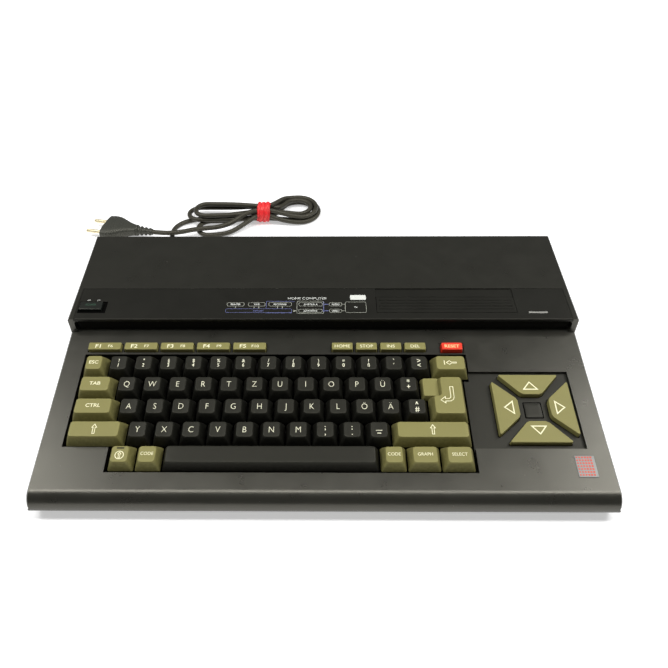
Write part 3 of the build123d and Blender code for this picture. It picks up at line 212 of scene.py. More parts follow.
def directions(outline: Array) -> tuple[Array, Array]:
    """Unit steps along the sides of a closed outline.

    Args:
        outline: corners of shape (n, 2).

    Returns:
        For each corner, the step that comes in and the one that goes out.
    """
    out = np.roll(outline, -1, axis=0) - outline
    out /= np.linalg.norm(out, axis=1, keepdims=True)
    return np.roll(out, 1, axis=0), out


def rounded_ring(corners: Array, radius: float, corner: int = 4, side: int = 6) -> Array:
    """Right-angled outline with quarter circles at its corners and evenly divided sides.

    The centre of each quarter circle lies one radius along both sides from its corner, so it also
    rounds a corner that points inward.

    Args:
        corners: right-angled corners of shape (n, 2), anticlockwise.
        radius: radius at each corner.
        corner: steps in each quarter circle.
        side: points inside each straight side.

    Returns:
        Points of shape (m, 2), anticlockwise.
    """
    before, after = directions(corners)
    turn = np.radians(np.linspace(0, 90, corner + 1))[None, :, None]
    centres = (corners + radius * (after - before))[:, None]
    arcs = centres - radius * (after[:, None] * np.cos(turn) - before[:, None] * np.sin(turn))
    steps = np.linspace(0, 1, side + 2)[1:-1, None]
    sides = arcs[:, -1:] + (np.roll(arcs, -1, axis=0)[:, :1] - arcs[:, -1:]) * steps
    return np.concatenate([arcs, sides], axis=1).reshape(-1, 2)


def rounded_box(x: Pair, y: Pair, radius: float) -> Array:
    """Outline of a rounded rectangle that spans x and y."""
    ring = rounded_ring(rectangle((x[1] - x[0]) / 2, (y[1] - y[0]) / 2), radius, corner=3, side=0)
    return ring + np.array([sum(x), sum(y)]) / 2


def lathe(profile: Array | Pairs, around: int) -> Patch:
    """Surface of revolution about Z: (radius, height) pairs from below turned a full circle."""
    radius, height = np.array(profile, float).T
    return stack(levels([circle(around) * r for r in radius], tuple(height)))


def faced_back(patch: Patch, place: Point) -> Patch:
    """A surface about Z laid to the rear: (x, y, z) becomes (-x, z, y), moved to the place."""
    x, y, z = patch.points.T
    return patch.at(np.stack([-x, z, y], axis=1) + np.array(place))


def turned_back(profile: Array | Pairs, place: Point, around: int) -> Patch:
    """Turned part whose axis runs to the rear, from (radius, distance behind the place) pairs."""
    return faced_back(lathe(profile, around), place)


def slab(outline: Array, low: float, high: float) -> Patch:
    """Flat plate: an outline carried straight up, closed by fans to its middle."""
    return stack(levels([outline, outline], (low, high)))


def bar(x: Pair, y: Pair, z: Pair) -> Patch:
    """Straight bar that spans x, y and z."""
    return slab(np.array([[x[1], y[1]], [x[0], y[1]], [x[0], y[0]], [x[1], y[0]]]), *z)


def inset(outline: Array, distance: float) -> Array:
    """Outline moved inward: each corner slides along its bisector, by the mitre formula.

    Args:
        outline: corners of shape (n, 2), anticlockwise.
        distance: how far each side moves inward.

    Returns:
        The moved corners.
    """
    before, after = directions(outline)
    bisector = np.stack([-before[:, 1] - after[:, 1], before[:, 0] + after[:, 0]], axis=1)
    return outline + distance * bisector * 2 / (bisector**2).sum(axis=1, keepdims=True)


def frame_line(outline: Array, width: float, low: float, high: float) -> Patch:
    """Printed outline: a closed band between an outline and the same outline inset by its width."""
    inner = inset(outline, width)
    return hoop(levels([outline, inner, inner, outline], (high, high, low, low)))


# Frames of the case


@dataclass(frozen=True)
class Tilt:
    """A tilted drawing frame: x to the right, v up the slope and h above the face."""

    y: float
    z: float
    slope: float

    @property
    def turn(self) -> Pair:
        """Cosine and sine of the slope."""
        return math.cos(math.radians(self.slope)), math.sin(math.radians(self.slope))

    def world(self, points: Array) -> Array:
        """Points turned by the slope about X and moved to the frame's origin.

        Args:
            points: rows of (x, v, h).

        Returns:
            Rows of (x, y, z).
        """
        cosine, sine = self.turn
        x, v, h = points.T
        y = self.y + v * cosine - h * sine
        return np.stack([x, y, self.z + v * sine + h * cosine], axis=1)

    def local(self, points: Array) -> Array:
        """The way back from the world into this frame.

        Args:
            points: rows of (x, y, z).

        Returns:
            Rows of (x, v, h).
        """
        cosine, sine = self.turn
        x, y, z = points.T
        y, z = y - self.y, z - self.z
        return np.stack([x, y * cosine + z * sine, z * cosine - y * sine], axis=1)

    def laid(self, patch: Patch) -> Patch:
        """A surface of this frame turned into the world."""
        return patch.at(self.world(patch.points))


@dataclass(frozen=True)
class Case:
    """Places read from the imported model, with the slopes of its two faces."""

    panel_slope: float = 9.65
    deck_slope: float = 4.16
    nose_reach: float = 9.5
    panel_front_z: float = 23.5

    def box(self, node: str) -> tuple[Array, Array]:
        """Corners of a CAD node in millimetres."""
        low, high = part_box(node)
        return np.array(low) / MM, np.array(high) / MM

    def points(self, node: str) -> Array:
        """Vertices of a CAD node in millimetres.

        Args:
            node: the CAD node.

        Returns:
            Rows of (x, y, z).
        """
        mesh = bpy.data.objects[node].data
        flat = np.zeros(len(mesh.vertices) * 3)
        mesh.vertices.foreach_get("co", flat)
        return flat.reshape(-1, 3) / MM

    @property
    def panel(self) -> Tilt:
        """Frame of the keyboard panel, from where the nose ends."""
        front = self.box("keyboard_surround")[0][1]
        return Tilt(front + self.nose_reach, self.panel_front_z, self.panel_slope)

    @property
    def deck(self) -> Tilt:
        """Frame of the rear deck, from its lip.

        Returns:
            The frame.
        """
        low, high = self.box("deck_cover")
        rise = (high[1] - low[1]) * math.tan(math.radians(self.deck_slope))
        return Tilt(low[1], high[2] - rise, self.deck_slope)


# Materials


def srgb(red: float, green: float, blue: float) -> Colour:
    """Linear colour of display values, by the usual 2.4 power law.

    Args:
        red: from 0 to 255.
        green: from 0 to 255.
        blue: from 0 to 255.

    Returns:
        The colour, from 0 to 1.
    """
    values = np.array([red, green, blue]) / 255
    low = values / 12.92
    high = ((values + 0.055) / 1.055) ** 2.4
    return tuple(np.where(values <= 0.04045, low, high).tolist())


class Graph:
    """Short notation for a node tree, in which all noise has the same roughness."""

    roughness = 0.6

    def __init__(self, tree: Tree) -> None:
        """Keeps the tree and empties it."""
        self.tree = tree
        tree.nodes.clear()

    def node(self, kind: str, **values: object) -> Node:
        """Adds a node and sets its properties and input values.

        Args:
            kind: Blender's name of the node class.
            values: properties of the node, or inputs by name with underscores for spaces.

        Returns:
            The new node.
        """
        made = self.tree.nodes.new(kind)
        for name, value in values.items():
            label = name.replace("_", " ")
            if label not in made.inputs:
                setattr(made, name, value)
            else:
                self.feed(made.inputs[label], value)
        return made

    def feed(self, socket: Socket, value: object) -> None:
        """Links a socket to another one, or sets it to a plain value.

        Args:
            socket: the input.
            value: the other socket or the value.
        """
        if isinstance(value, Socket):
            self.tree.links.new(value, socket)
        else:
            socket.default_value = value

    def math(self, operation: str, *values: object) -> Socket:
        """Result of a sum on sockets and numbers.

        Args:
            operation: Blender's name of the sum.
            values: its terms.

        Returns:
            The socket with the result.
        """
        made = self.tree.nodes.new("ShaderNodeMath")
        made.operation = operation
        for socket, value in zip(made.inputs, values):
            self.feed(socket, value)
        return made.outputs[0]

    def scaled(self, colour: Socket, strength: Socket) -> Socket:
        """A colour times a number."""
        made = self.node("ShaderNodeVectorMath", operation="SCALE", Vector=colour, Scale=strength)
        return made.outputs[0]

    def noise(self, size: Socket | float, detail: float) -> Socket:
        """Noise on Object coordinates.

        Args:
            size: size of its features in millimetres.
            detail: how many finer layers it has.

        Returns:
            The noise, from 0 to 1.
        """
        place = self.node("ShaderNodeTexCoord").outputs["Object"]
        scale = self.math("DIVIDE", 1 / MM, size)
        made = self.node("ShaderNodeTexNoise", Vector=place, Scale=scale, Detail=detail)
        self.feed(made.inputs["Roughness"], self.roughness)
        return made.outputs["Fac"]


class SocketKind(Enum):
    """What a socket of a node group carries."""

    NUMBER = "NodeSocketFloat"
    COLOUR = "NodeSocketColor"


Outputs = dict[str, Socket]
Fill = Callable[[Graph, Node], Outputs]
GREY = (0.5, 0.5, 0.5, 1.0)
DUST_COLOUR = (0.45, 0.44, 0.4, 1)
DUST_CHOICE = 0.72
DUST_RADIUS = 0.035
WAVE_LENGTH = 30.0
WEAR_PATCH = 2.5
# Colour sockets of the mix node: its two inputs and its output
MIX_BEFORE, MIX_AFTER, MIX_RESULT = 6, 7, 2


@dataclass(frozen=True)
class Effect:
    """A shader node group, built once and shared by all finishes.

    Inputs hold a default by name: a number, or four numbers for a colour. Outputs hold what each
    carries. The function adds the group's nodes and gives a socket for each output.
    """

    name: str
    inputs: dict[str, object]
    outputs: dict[str, SocketKind]
    fill: Fill

    def tree(self) -> Tree:
        """The group, made where it isn't there yet.

        Returns:
            The group's tree.
        """
        found = bpy.data.node_groups.get(self.name)
        if found:
            return found
        tree = bpy.data.node_groups.new(self.name, "ShaderNodeTree")
        for label, default in self.inputs.items():
            kind = SocketKind.COLOUR if isinstance(default, tuple) else SocketKind.NUMBER
            socket = tree.interface.new_socket(label, in_out="INPUT", socket_type=kind.value)
            socket.default_value = default
        for label, kind in self.outputs.items():
            tree.interface.new_socket(label, in_out="OUTPUT", socket_type=kind.value)
        graph = Graph(tree)
        graph.node("NodeGroupOutput", **self.fill(graph, graph.node("NodeGroupInput")))
        return tree


def moulded_grain(graph: Graph, given: Node) -> Outputs:
    """Height of a moulded texture: fine noise plus a slow one times the waviness.

    Args:
        graph: the group's tree.
        given: the node with its inputs.

    Returns:
        The outputs by name.
    """
    size = given.outputs["Size"]
    fine = graph.noise(size, detail=2.0)
    slow = graph.noise(graph.math("MULTIPLY", size, WAVE_LENGTH), detail=1.0)
    return {"Height": graph.math("MULTIPLY_ADD", slow, given.outputs["Waviness"], fine)}


def soft_mottle(graph: Graph, given: Node) -> Outputs:
    """Lighter and darker patches: the colour times one plus the centred noise times the amount.

    Args:
        graph: the group's tree.
        given: the node with its inputs.

    Returns:
        The outputs by name.
    """
    patches = graph.noise(given.outputs["Size"], detail=4.0)
    centred = graph.math("SUBTRACT", patches, 0.5)
    strength = graph.math("MULTIPLY_ADD", centred, given.outputs["Amount"], 1.0)
    return {"Colour": graph.scaled(given.outputs["Colour"], strength), "Mask": patches}


def edge_wear(graph: Graph, given: Node) -> Outputs:
    """Lighter worn edges: the colour times one plus the mask, which is noise times edge and amount.
    An edge value below 0, as down a key cap's sides, darkens the colour instead, as painted shade.

    Args:
        graph: the group's tree.
        given: the node with its inputs.

    Returns:
        The outputs by name.
    """
    broken = graph.noise(WEAR_PATCH, detail=3.0)
    edge = graph.math("MULTIPLY", broken, given.outputs["Edge"])
    strong = graph.math("MULTIPLY", edge, given.outputs["Amount"])
    lift = graph.math("ADD", strong, 1.0)
    return {"Colour": graph.scaled(given.outputs["Colour"], lift), "Mask": strong}


def dust_specks(graph: Graph, given: Node) -> Outputs:
    """A few pale specks: dust colour near the points of chosen scattered cells.

    Args:
        graph: the group's tree.
        given: the node with its inputs.

    Returns:
        The outputs by name.
    """
    place = graph.node("ShaderNodeTexCoord").outputs["Object"]
    scale = graph.math("DIVIDE", 1 / MM, given.outputs["Spacing"])
    cells = graph.node("ShaderNodeTexVoronoi", Vector=place, Scale=scale)
    chosen = graph.math("GREATER_THAN", cells.outputs["Color"], DUST_CHOICE)
    near = graph.math("LESS_THAN", cells.outputs["Distance"], DUST_RADIUS)
    speck = graph.math("MULTIPLY", chosen, near)
    mask = graph.math("MULTIPLY", speck, given.outputs["Amount"])
    mix = graph.node("ShaderNodeMix", data_type="RGBA")
    graph.feed(mix.inputs["Factor"], mask)
    graph.feed(mix.inputs[MIX_BEFORE], given.outputs["Colour"])
    graph.feed(mix.inputs[MIX_AFTER], DUST_COLOUR)
    return {"Colour": mix.outputs[MIX_RESULT]}


SHADE = {"Colour": SocketKind.COLOUR, "Mask": SocketKind.NUMBER}
GRAIN = Effect(
    "moulded grain", {"Size": 0.4, "Waviness": 2.0}, {"Height": SocketKind.NUMBER}, moulded_grain
)
MOTTLE = Effect(
    "soft mottle", {"Colour": GREY, "Amount": 0.2, "Size": 20.0}, SHADE, soft_mottle
)
WEAR_AND_SHADE = Effect("edge wear", {"Colour": GREY, "Edge": 0.0, "Amount": 0.8}, SHADE, edge_wear)
DUST = Effect(
    "dust specks", {"Colour": GREY, "Spacing": 6.0, "Amount": 0.35},
    {"Colour": SocketKind.COLOUR}, dust_specks,
)


class Slot(Enum):
    """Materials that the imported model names."""

    CASE = "case_plastic"
    STRIP = "strip_plastic"
    GLOSS = "gloss_black"
    KEY_DARK = "key_dark"
    KEY_OLIVE = "key_olive"
    KEY_RED = "key_red"
    LAMP = "lamp_lens"
    CORD = "cord_rubber"
    PLUG = "plug_plastic"
    TIE = "tie_red"
    FOOT = "foot_rubber"
    SOCKET = "socket_plastic"
    SHEET = "rear_sheet"
    SCREW = "screw_steel"
    SCREEN = "screen_steel"
    PLATE = "plate_steel"
    SWITCH = "switch_plastic"
    BOARD = "circuit_board"
    IRON = "transformer_iron"


@dataclass(frozen=True)
class Finish:
    """A finish: mottled colour with worn edges and specks, roughness and relief that vary.

    Sizes are in millimetres. The depth is how far the relief rises. Wear sets how much lighter an
    edge gets and how much darker painted shade makes a key cap's sides, polish how much smoother
    it gets, and specks how strongly dust shows.
    """

    name: str
    slot: Slot
    colour: Colour
    roughness: float = 0.5
    grain: float = 0.4
    depth: float = 0.02
    mottle: float = 0.2
    patch: float = 18.0
    wear: float = 0.5
    polish: float = 0.12
    specks: float = 0.0
    metallic: float = 0.0
    shine: float = 0.5
    spread: float = 0.08
    smoothest: float = 0.04
    tint: Colour = (1.0, 0.96, 0.82)

    def material(self, edge: bool = False) -> bpy.types.Material:
        """The finish as a material, made once.

        Args:
            edge: whether it is the variant for rounded edges, which are worn all along.

        Returns:
            The material.
        """
        name = f"{self.name} edge" if edge else self.name
        found = bpy.data.materials.get(name)
        if found:
            return found
        made = bpy.data.materials.new(name)
        made.use_nodes = True
        graph = Graph(made.node_tree)
        mottle = graph.node(
            "ShaderNodeGroup", node_tree=MOTTLE.tree(),
            Colour=(*self.colour, 1), Amount=self.mottle, Size=self.patch,
        )
        wear = graph.node(
            "ShaderNodeGroup", node_tree=WEAR_AND_SHADE.tree(),
            Colour=mottle.outputs["Colour"], Amount=self.wear,
        )
        if edge:
            graph.feed(wear.inputs["Edge"], 1.0)
        else:
            # The point attribute is 1 on worn rims and below 0 where painted shade darkens the key
            # caps' sides
            place = graph.node("ShaderNodeAttribute", attribute_name="wear")
            graph.feed(wear.inputs["Edge"], place.outputs["Fac"])
        colour = wear.outputs["Colour"]
        if self.specks:
            dust = graph.node(
                "ShaderNodeGroup", node_tree=DUST.tree(), Colour=colour, Amount=self.specks
            )
            colour = dust.outputs["Colour"]
        rough = graph.node(
            "ShaderNodeMapRange", Value=mottle.outputs["Mask"],
            To_Min=max(self.smoothest, self.roughness - self.spread),
            To_Max=self.roughness + self.spread,
        )
        mask = wear.outputs["Mask"]
        smoother = graph.math("MULTIPLY_ADD", mask, -self.polish, rough.outputs[0])
        grain = graph.node("ShaderNodeGroup", node_tree=GRAIN.tree(), Size=self.grain)
        bump = graph.node(
            "ShaderNodeBump", Strength=1.0, Distance=self.depth * MM,
            Height=grain.outputs["Height"],
        )
        shader = graph.node(
            "ShaderNodeBsdfPrincipled",
            Base_Color=colour,
            Roughness=smoother,
            Normal=bump.outputs[0],
            Metallic=self.metallic,
            Specular_IOR_Level=self.shine,
            Specular_Tint=(*self.tint, 1),
        )
        graph.node("ShaderNodeOutputMaterial", Surface=shader.outputs[0])
        return made


CASE = Finish(
    "case plastic", Slot.CASE, srgb(32, 32, 28),
    shine=0.8, roughness=0.3, depth=0.007, specks=0.3, wear=1.6,
)
STRIP = Finish(
    "strip plastic", Slot.STRIP, srgb(27, 27, 24),
    shine=0.3, roughness=0.4, depth=0.008, specks=0.3, wear=1.6,
)
PAD = Finish(
    "pad plastic", Slot.STRIP, srgb(35, 35, 31), shine=0.3, roughness=0.46, depth=0.012, wear=0.9
)
# Near-black gloss for the shadow strip, a dark sheet at the back of the recess under the deck's
# lip: painted shade for that recess
GLOSS = Finish(
    "gloss black", Slot.GLOSS, srgb(9, 9, 9), roughness=0.1, depth=0.002, mottle=0.1, spread=0.03
)
# Near-black matte: painted shade for the gap round the arrows' fixed cap and the floor of the power
# button's recess
PAINTED_SHADE = Finish("dark gap", Slot.GLOSS, srgb(5, 5, 5), roughness=0.9, shine=0.05, depth=0.002)
BUTTON = Finish(
    "button plastic", Slot.STRIP, srgb(22, 26, 24), roughness=0.36, depth=0.006, wear=1.2
)
# On the caps, the amount of edge lightening also sets how dark the painted shade down their sides
# gets
KEY_DARK = Finish(
    "dark caps", Slot.KEY_DARK, srgb(36, 36, 31),
    shine=0.22, roughness=0.46, grain=0.3, depth=0.012, wear=0.7,
)
KEY_OLIVE = Finish(
    "olive caps", Slot.KEY_OLIVE, srgb(138, 133, 82),
    shine=0.25, roughness=0.45, grain=0.3, depth=0.012, mottle=0.1, wear=0.16,
)
KEY_RED = Finish(
    "red cap", Slot.KEY_RED, srgb(232, 57, 36),
    roughness=0.4, grain=0.3, depth=0.01, mottle=0.08, wear=0.15,
)
LEGEND = Finish(
    "pale legends", Slot.KEY_DARK, srgb(242, 240, 212), depth=0.002, mottle=0.08, patch=3
)
LEGEND_OLIVE = Finish(
    "pale legends on olive", Slot.KEY_OLIVE, srgb(250, 246, 206),
    depth=0.002, mottle=0.06, patch=3,
)
LEGEND_RED = Finish(
    "pale legend on red", Slot.KEY_RED, srgb(255, 212, 150), depth=0.002, mottle=0.06, patch=3
)
WINDOW = Finish("lamp window", Slot.KEY_OLIVE, srgb(52, 50, 38), roughness=0.2, depth=0.002)
PRINT_PALE = Finish(
    "pale print", Slot.STRIP, srgb(160, 162, 150), depth=0.002, mottle=0.15, patch=4
)
PRINT_WHITE = Finish(
    "white print", Slot.STRIP, srgb(225, 227, 220), roughness=0.45, depth=0.002, patch=5
)
PRINT_BLUE = Finish(
    "lavender print", Slot.STRIP, srgb(98, 104, 152), depth=0.002, mottle=0.15, patch=4
)
PRINT_GREEN = Finish(
    "green print", Slot.STRIP, srgb(50, 84, 66), depth=0.002, mottle=0.15, patch=3
)
LAMP = Finish(
    "lamp lens", Slot.LAMP, srgb(150, 149, 143), roughness=0.3, depth=0.004, mottle=0.1, patch=4
)
BADGE = Finish(
    "badge plate", Slot.CASE, srgb(140, 142, 140),
    roughness=0.5, depth=0.003, metallic=0.3, patch=3, mottle=0.5, wear=0.1,
)
RED_DOT = Finish("red print", Slot.CASE, srgb(206, 58, 40), roughness=0.4, depth=0.002, patch=4)
CORD = Finish("cord sheath", Slot.CORD, srgb(57, 55, 46), grain=0.7, patch=9)
PLUG = Finish(
    "plug body", Slot.PLUG, srgb(60, 61, 55), roughness=0.48, grain=0.5, depth=0.03, patch=9
)
PIN = Finish(
    "plug pins", Slot.PLUG, srgb(234, 222, 184),
    roughness=0.34, metallic=0.75, depth=0.003, patch=5,
)
TIE = Finish(
    "red band", Slot.TIE, srgb(206, 40, 44), grain=0.6, depth=0.06, mottle=0.3, patch=2.5, wear=1.1
)
FOOT = Finish(
    "foot rubber", Slot.FOOT, srgb(30, 30, 30), roughness=0.75, grain=0.5, depth=0.04, patch=5
)
SOCKET = Finish(
    "socket plastic", Slot.SOCKET, srgb(22, 22, 22), roughness=0.42, depth=0.006, patch=6, wear=0.9
)
SHEET = Finish("rear sheet", Slot.SHEET, srgb(44, 43, 40), grain=0.3, depth=0.015, wear=1.0)
STEEL = Finish(
    "bright steel", Slot.SCREW, srgb(165, 165, 168),
    roughness=0.3, metallic=1.0, depth=0.003, patch=3,
)
TIN = Finish(
    "tinned screen", Slot.SCREEN, srgb(186, 186, 182),
    roughness=0.34, metallic=1.0, depth=0.006, patch=6,
)
PLATE = Finish("key plate", Slot.PLATE, srgb(9, 9, 9), shine=0.1, roughness=0.8, depth=0.006)
SWITCH = Finish(
    "switch plastic", Slot.SWITCH, srgb(12, 12, 12), shine=0.2, roughness=0.7, depth=0.006
)
BOARD = Finish(
    "board lacquer", Slot.BOARD, srgb(62, 92, 50), roughness=0.4, depth=0.01, patch=6
)
IRON = Finish("laminations", Slot.IRON, srgb(110, 104, 96), metallic=0.7, depth=0.03, patch=5)
INSULATOR = Finish(
    "white insulator", Slot.SCREEN, srgb(226, 224, 214), roughness=0.4, depth=0.003, patch=2
)
GOLD = Finish(
    "contacts", Slot.SOCKET, srgb(214, 180, 98),
    roughness=0.28, metallic=1.0, depth=0.002, patch=3,
)


# Pieces

Shells = tuple[tuple[str, float, Finish], ...]


class Workshop:
    """Makes Blender objects, hangs them on their bodies and reports them."""

    def __init__(self, frame: dict) -> None:
        """Keeps the frame's nodes."""
        self.nodes = frame["nodes"]

    def body(self, node: str) -> str:
        """Body that a CAD node belongs to."""
        return self.nodes[node]["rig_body"]

    def piece(self, name: str, patch: Patch, finish: Finish, body: str = "case") -> Made:
        """Makes a piece from a surface in world millimetres.

        Args:
            name: name of the piece.
            patch: its surface.
            finish: its finish.
            body: the body that it rides on.

        Returns:
            The object.
        """
        mesh = bpy.data.meshes.new(name)
        faces = patch.quads.tolist() + patch.tris.tolist()
        mesh.from_pydata((patch.points * MM).tolist(), [], faces)
        mesh.polygons.foreach_set("use_smooth", np.ones(len(mesh.polygons), bool))
        mesh.set_sharp_from_angle(angle=SHARP_ANGLE)
        wear = mesh.attributes.new("wear", "FLOAT", "POINT")
        wear.data.foreach_set("value", patch.worn())
        return self.dress(bpy.data.objects.new(name, mesh), body, finish.slot, finish.material())

    def dress(self, made: Made, body: str, slot: Slot, *materials: bpy.types.Material) -> Made:
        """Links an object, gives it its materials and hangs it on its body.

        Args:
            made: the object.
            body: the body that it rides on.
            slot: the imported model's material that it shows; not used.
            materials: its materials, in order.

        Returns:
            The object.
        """
        bpy.context.scene.collection.objects.link(made)
        made.data.materials.clear()
        for material in materials:
            made.data.materials.append(material)
        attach(made, body)
        LOG.info("%s on %s", made.name, body)
        return made

    def paint(self, node: str, finish: Finish) -> None:
        """Gives a CAD node that stays in view its finish.

        Args:
            node: the CAD node.
            finish: its finish.
        """
        mesh = self.nodes[node].data
        mesh.materials.clear()
        mesh.materials.append(finish.material())

    def shells(self, rows: Shells) -> None:
        """Makes the rounded copy of each node, from its name, rounding and finish."""
        for node, rounding, finish in rows:
            self.softened(node, rounding, finish)

    def softened(self, node: str, width: float, finish: Finish, segments: int = 3) -> None:
        """Makes a copy of a CAD node with merged faces and rounded worn edges to stand for it.

        Args:
            node: the CAD node.
            width: width of the rounding in millimetres.
            finish: the finish.
            segments: steps in the rounding.
        """
        mesh = self.nodes[node].data.copy()
        work = bmesh.new()
        work.from_mesh(mesh)
        bmesh.ops.remove_doubles(work, verts=work.verts, dist=WELD)
        bmesh.ops.dissolve_limit(work, angle_limit=FLAT_ANGLE, verts=work.verts, edges=work.edges)
        bmesh.ops.recalc_face_normals(work, faces=work.faces)
        work.to_mesh(mesh)
        work.free()
        mesh.name = f"{node}_shell"
        made = bpy.data.objects.new(mesh.name, mesh)
        mesh.polygons.foreach_set("use_smooth", np.ones(len(mesh.polygons), bool))
        bevel = made.modifiers.new("edges", "BEVEL")
        bevel.width = width * MM
        bevel.segments = segments
        bevel.limit_method = "ANGLE"
        bevel.angle_limit = BEVEL_ANGLE
        bevel.harden_normals = True
        bevel.material = 1
        made.modifiers.new("normals", "WEIGHTED_NORMAL").keep_sharp = True
        plain, worn = finish.material(), finish.material(edge=True)
        self.dress(made, self.body(node), finish.slot, plain, worn)
        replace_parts(made, node)


# Lettering


@dataclass
class Lettering:
    """Thin printed characters, cut from Blender's own font and stored by word."""

    thickness: float = 0.05
    capital: float = 0.729
    narrow: float = 0.86
    curve_steps: int = 5
    raised: float = 0.01
    digits: int = 4
    store: dict[tuple, Patch] = field(default_factory=dict)

    def word(self, text: str, size: float, bold: float = 0.0, wide: float = 1.0) -> Patch:
        """A word centred on the origin, lying on h = 0.

        Args:
            text: the characters.
            size: height of a capital letter in millimetres.
            bold: how far the outlines are fattened, as a share of the size.
            wide: stretch along the line.

        Returns:
            The word as a thin closed plate.
        """
        key = (text, size, bold, wide)
        if key not in self.store:
            points, corners = self.cut(text, bold)
            points[:, 0] -= (points[:, 0].min() + points[:, 0].max()) / 2
            points[:, 1] -= self.capital / 2
            points[:, :2] *= size / self.capital * np.array([self.narrow * wide, 1])
            points[:, 2] = np.where(points[:, 2] > 0, self.thickness, 0.0)
            points = points.round(self.digits)
            points, index = np.unique(points, axis=0, return_inverse=True)
            tris = index.ravel()[corners].reshape(-1, 3)
            whole = (tris != np.roll(tris, 1, axis=1)).all(axis=1)
            self.store[key] = Patch(points, tris=tris[whole])
        return self.store[key]

    def cut(self, text: str, bold: float) -> tuple[Array, Array]:
        """Triangles of a raised word in the font's own units.

        Args:
            text: the characters.
            bold: how far the outlines are fattened.

        Returns:
            Points of shape (n, 3), and the point of each corner of the triangles in a row.
        """
        curve = bpy.data.curves.new("word", "FONT")
        curve.body = text
        curve.resolution_u = self.curve_steps
        curve.extrude = self.raised
        curve.offset = bold
        curve.align_x = "CENTER"
        carrier = bpy.data.objects.new("word", curve)
        mesh = carrier.to_mesh()
        mesh.calc_loop_triangles()
        flat = np.zeros(len(mesh.vertices) * 3)
        mesh.vertices.foreach_get("co", flat)
        corners = np.zeros(len(mesh.loop_triangles) * 3, np.int32)
        mesh.loop_triangles.foreach_get("vertices", corners)
        carrier.to_mesh_clear()
        bpy.data.objects.remove(carrier)
        bpy.data.curves.remove(curve)
        return flat.reshape(-1, 3), corners

    def mark(self, outline: Array | Pairs, width: float) -> Patch:
        """An outlined sign whose line has the given width, lying on h = 0."""
        return frame_line(np.array(outline, float), width, 0.0, self.thickness)


# Keys


@dataclass(frozen=True)
class Area:
    """Foot of a cap in the panel frame, with the height of its top."""

    left: float
    right: float
    front: float
    back: float
    top: float

    @property
    def middle(self) -> Pair:
        """Middle of the foot."""
        return (self.left + self.right) / 2, (self.front + self.back) / 2


@dataclass(frozen=True)
class Cap:
    """A sculpted key cap: its foot, its slanting sides, a rounded rim and a hollowed top."""

    side_draft: float = 3.1
    end_draft: float = 2.9
    sink: float = 0.5
    foot_radius: float = 1.2
    top_radius: float = 2.1
    rim: float = 0.6
    bulge: float = 0.22
    dish: float = 0.5
    # Painted shade down the sides: how far below 0 the shade value falls at the foot
    grime: float = 1.5
    dish_power: int = 4
    # How fast the painted shade fades up the sides
    grime_power: int = 10
    side_rings: int = 7
    rim_rings: int = 5
    top_shares: tuple[float, ...] = (0.9, 0.7, 0.46, 0.2)

    def height(self, x: Array, half: float, top: float) -> Array:
        """Height of the top: a trough along v, lowest at x = 0 and flush at the edge."""
        return top - self.dish * (1 - np.clip(x / half, -1, 1) ** 2)

    def patch(self, area: Area) -> Patch:
        """A cap with a straight foot.

        Args:
            area: the cap's foot and the height of its top.

        Returns:
            The closed cap in the panel frame, worn along its rim.
        """
        foot = np.array([area.right - area.left, area.back - area.front]) / 2
        x, v = area.middle
        top = foot - np.array([self.side_draft, self.end_draft])
        return self.skin(rectangle(*foot), rectangle(*top), area.top, top[0]).shifted(x, v, 0)

    def skin(self, foot: Array, top: Array, height: float, half: float) -> Patch:
        """Surface between a foot and a top, about a middle from which all of the top is in view.

        Corners move evenly from foot to top with a slight bulge, a quarter circle of the rim's
        radius turns the side into the top, and the top's rings shrink to the middle. The hollow
        deepens with the fourth power of the height on the sides. Wear is 1 at the rim and falls
        below 0 down the sides, as painted shade that darkens them.

        Args:
            foot: right-angled corners of the foot, anticlockwise.
            top: the matching corners of the top.
            height: height of the top.
            half: half the width of the hollow.

        Returns:
            The closed cap about the middle, worn along its rim and with painted shade down its
            sides.
        """
        rise = np.linspace(0, 1, self.side_rings)
        quarter = np.radians(np.linspace(0, 90, self.rim_rings + 1))[1:]
        flat_rings = len(self.top_shares)
        turn = self.rim * (1 - np.cos(quarter))
        inward = np.concatenate([-self.bulge * np.sin(np.pi * rise), turn])
        share = np.concatenate([rise, np.ones(self.rim_rings)])
        growth = (self.top_radius - self.foot_radius) * share
        radii = self.foot_radius + growth - np.maximum(inward, 0)
        outlines = [
            rounded_ring(inset(foot + (top - foot) * part, step), radius)
            for part, step, radius in zip(share, inward, radii)
        ]
        outlines += [outlines[-1] * shrink for shrink in self.top_shares]
        shoulder = height - self.rim
        side = -self.sink + (shoulder + self.sink) * rise
        bend = shoulder + self.rim * np.sin(quarter)
        rings = levels(outlines, np.concatenate([side, bend, np.full(flat_rings, height)]))
        weight = np.concatenate([rise**self.dish_power, np.ones(self.rim_rings + flat_rings)])
        rings[:, :, 2] += self.height(rings[:, :, 0], half, 0.0) * weight[:, None]
        # Painted shade: 1 at the shoulder, falling to minus the shade depth at the foot of the
        # sides
        sides = rise**self.grime_power * (1 + self.grime) - self.grime
        edge = np.sin(quarter * 2) * 0.5 + 0.5
        worn = np.repeat(np.concatenate([sides, edge, np.zeros(flat_rings)]), rings.shape[1])
        surface = stack(rings)
        return Patch(surface.points, surface.quads, surface.tris, np.append(worn, [0, 0]))


LETTER_CAP = Cap()
WIDE_CAP = Cap(dish=0.14, grime=3.5)
SPACE_CAP = Cap(side_draft=2.6, dish=0.0, rim=1.1, end_draft=2.4)
FLAT_CAP = Cap(dish=0.0, grime=3.5)
LEDGE_CAP = Cap(side_draft=1.3, end_draft=1.3, dish=0.0, top_radius=1.4, rim=0.5, grime=2.5)


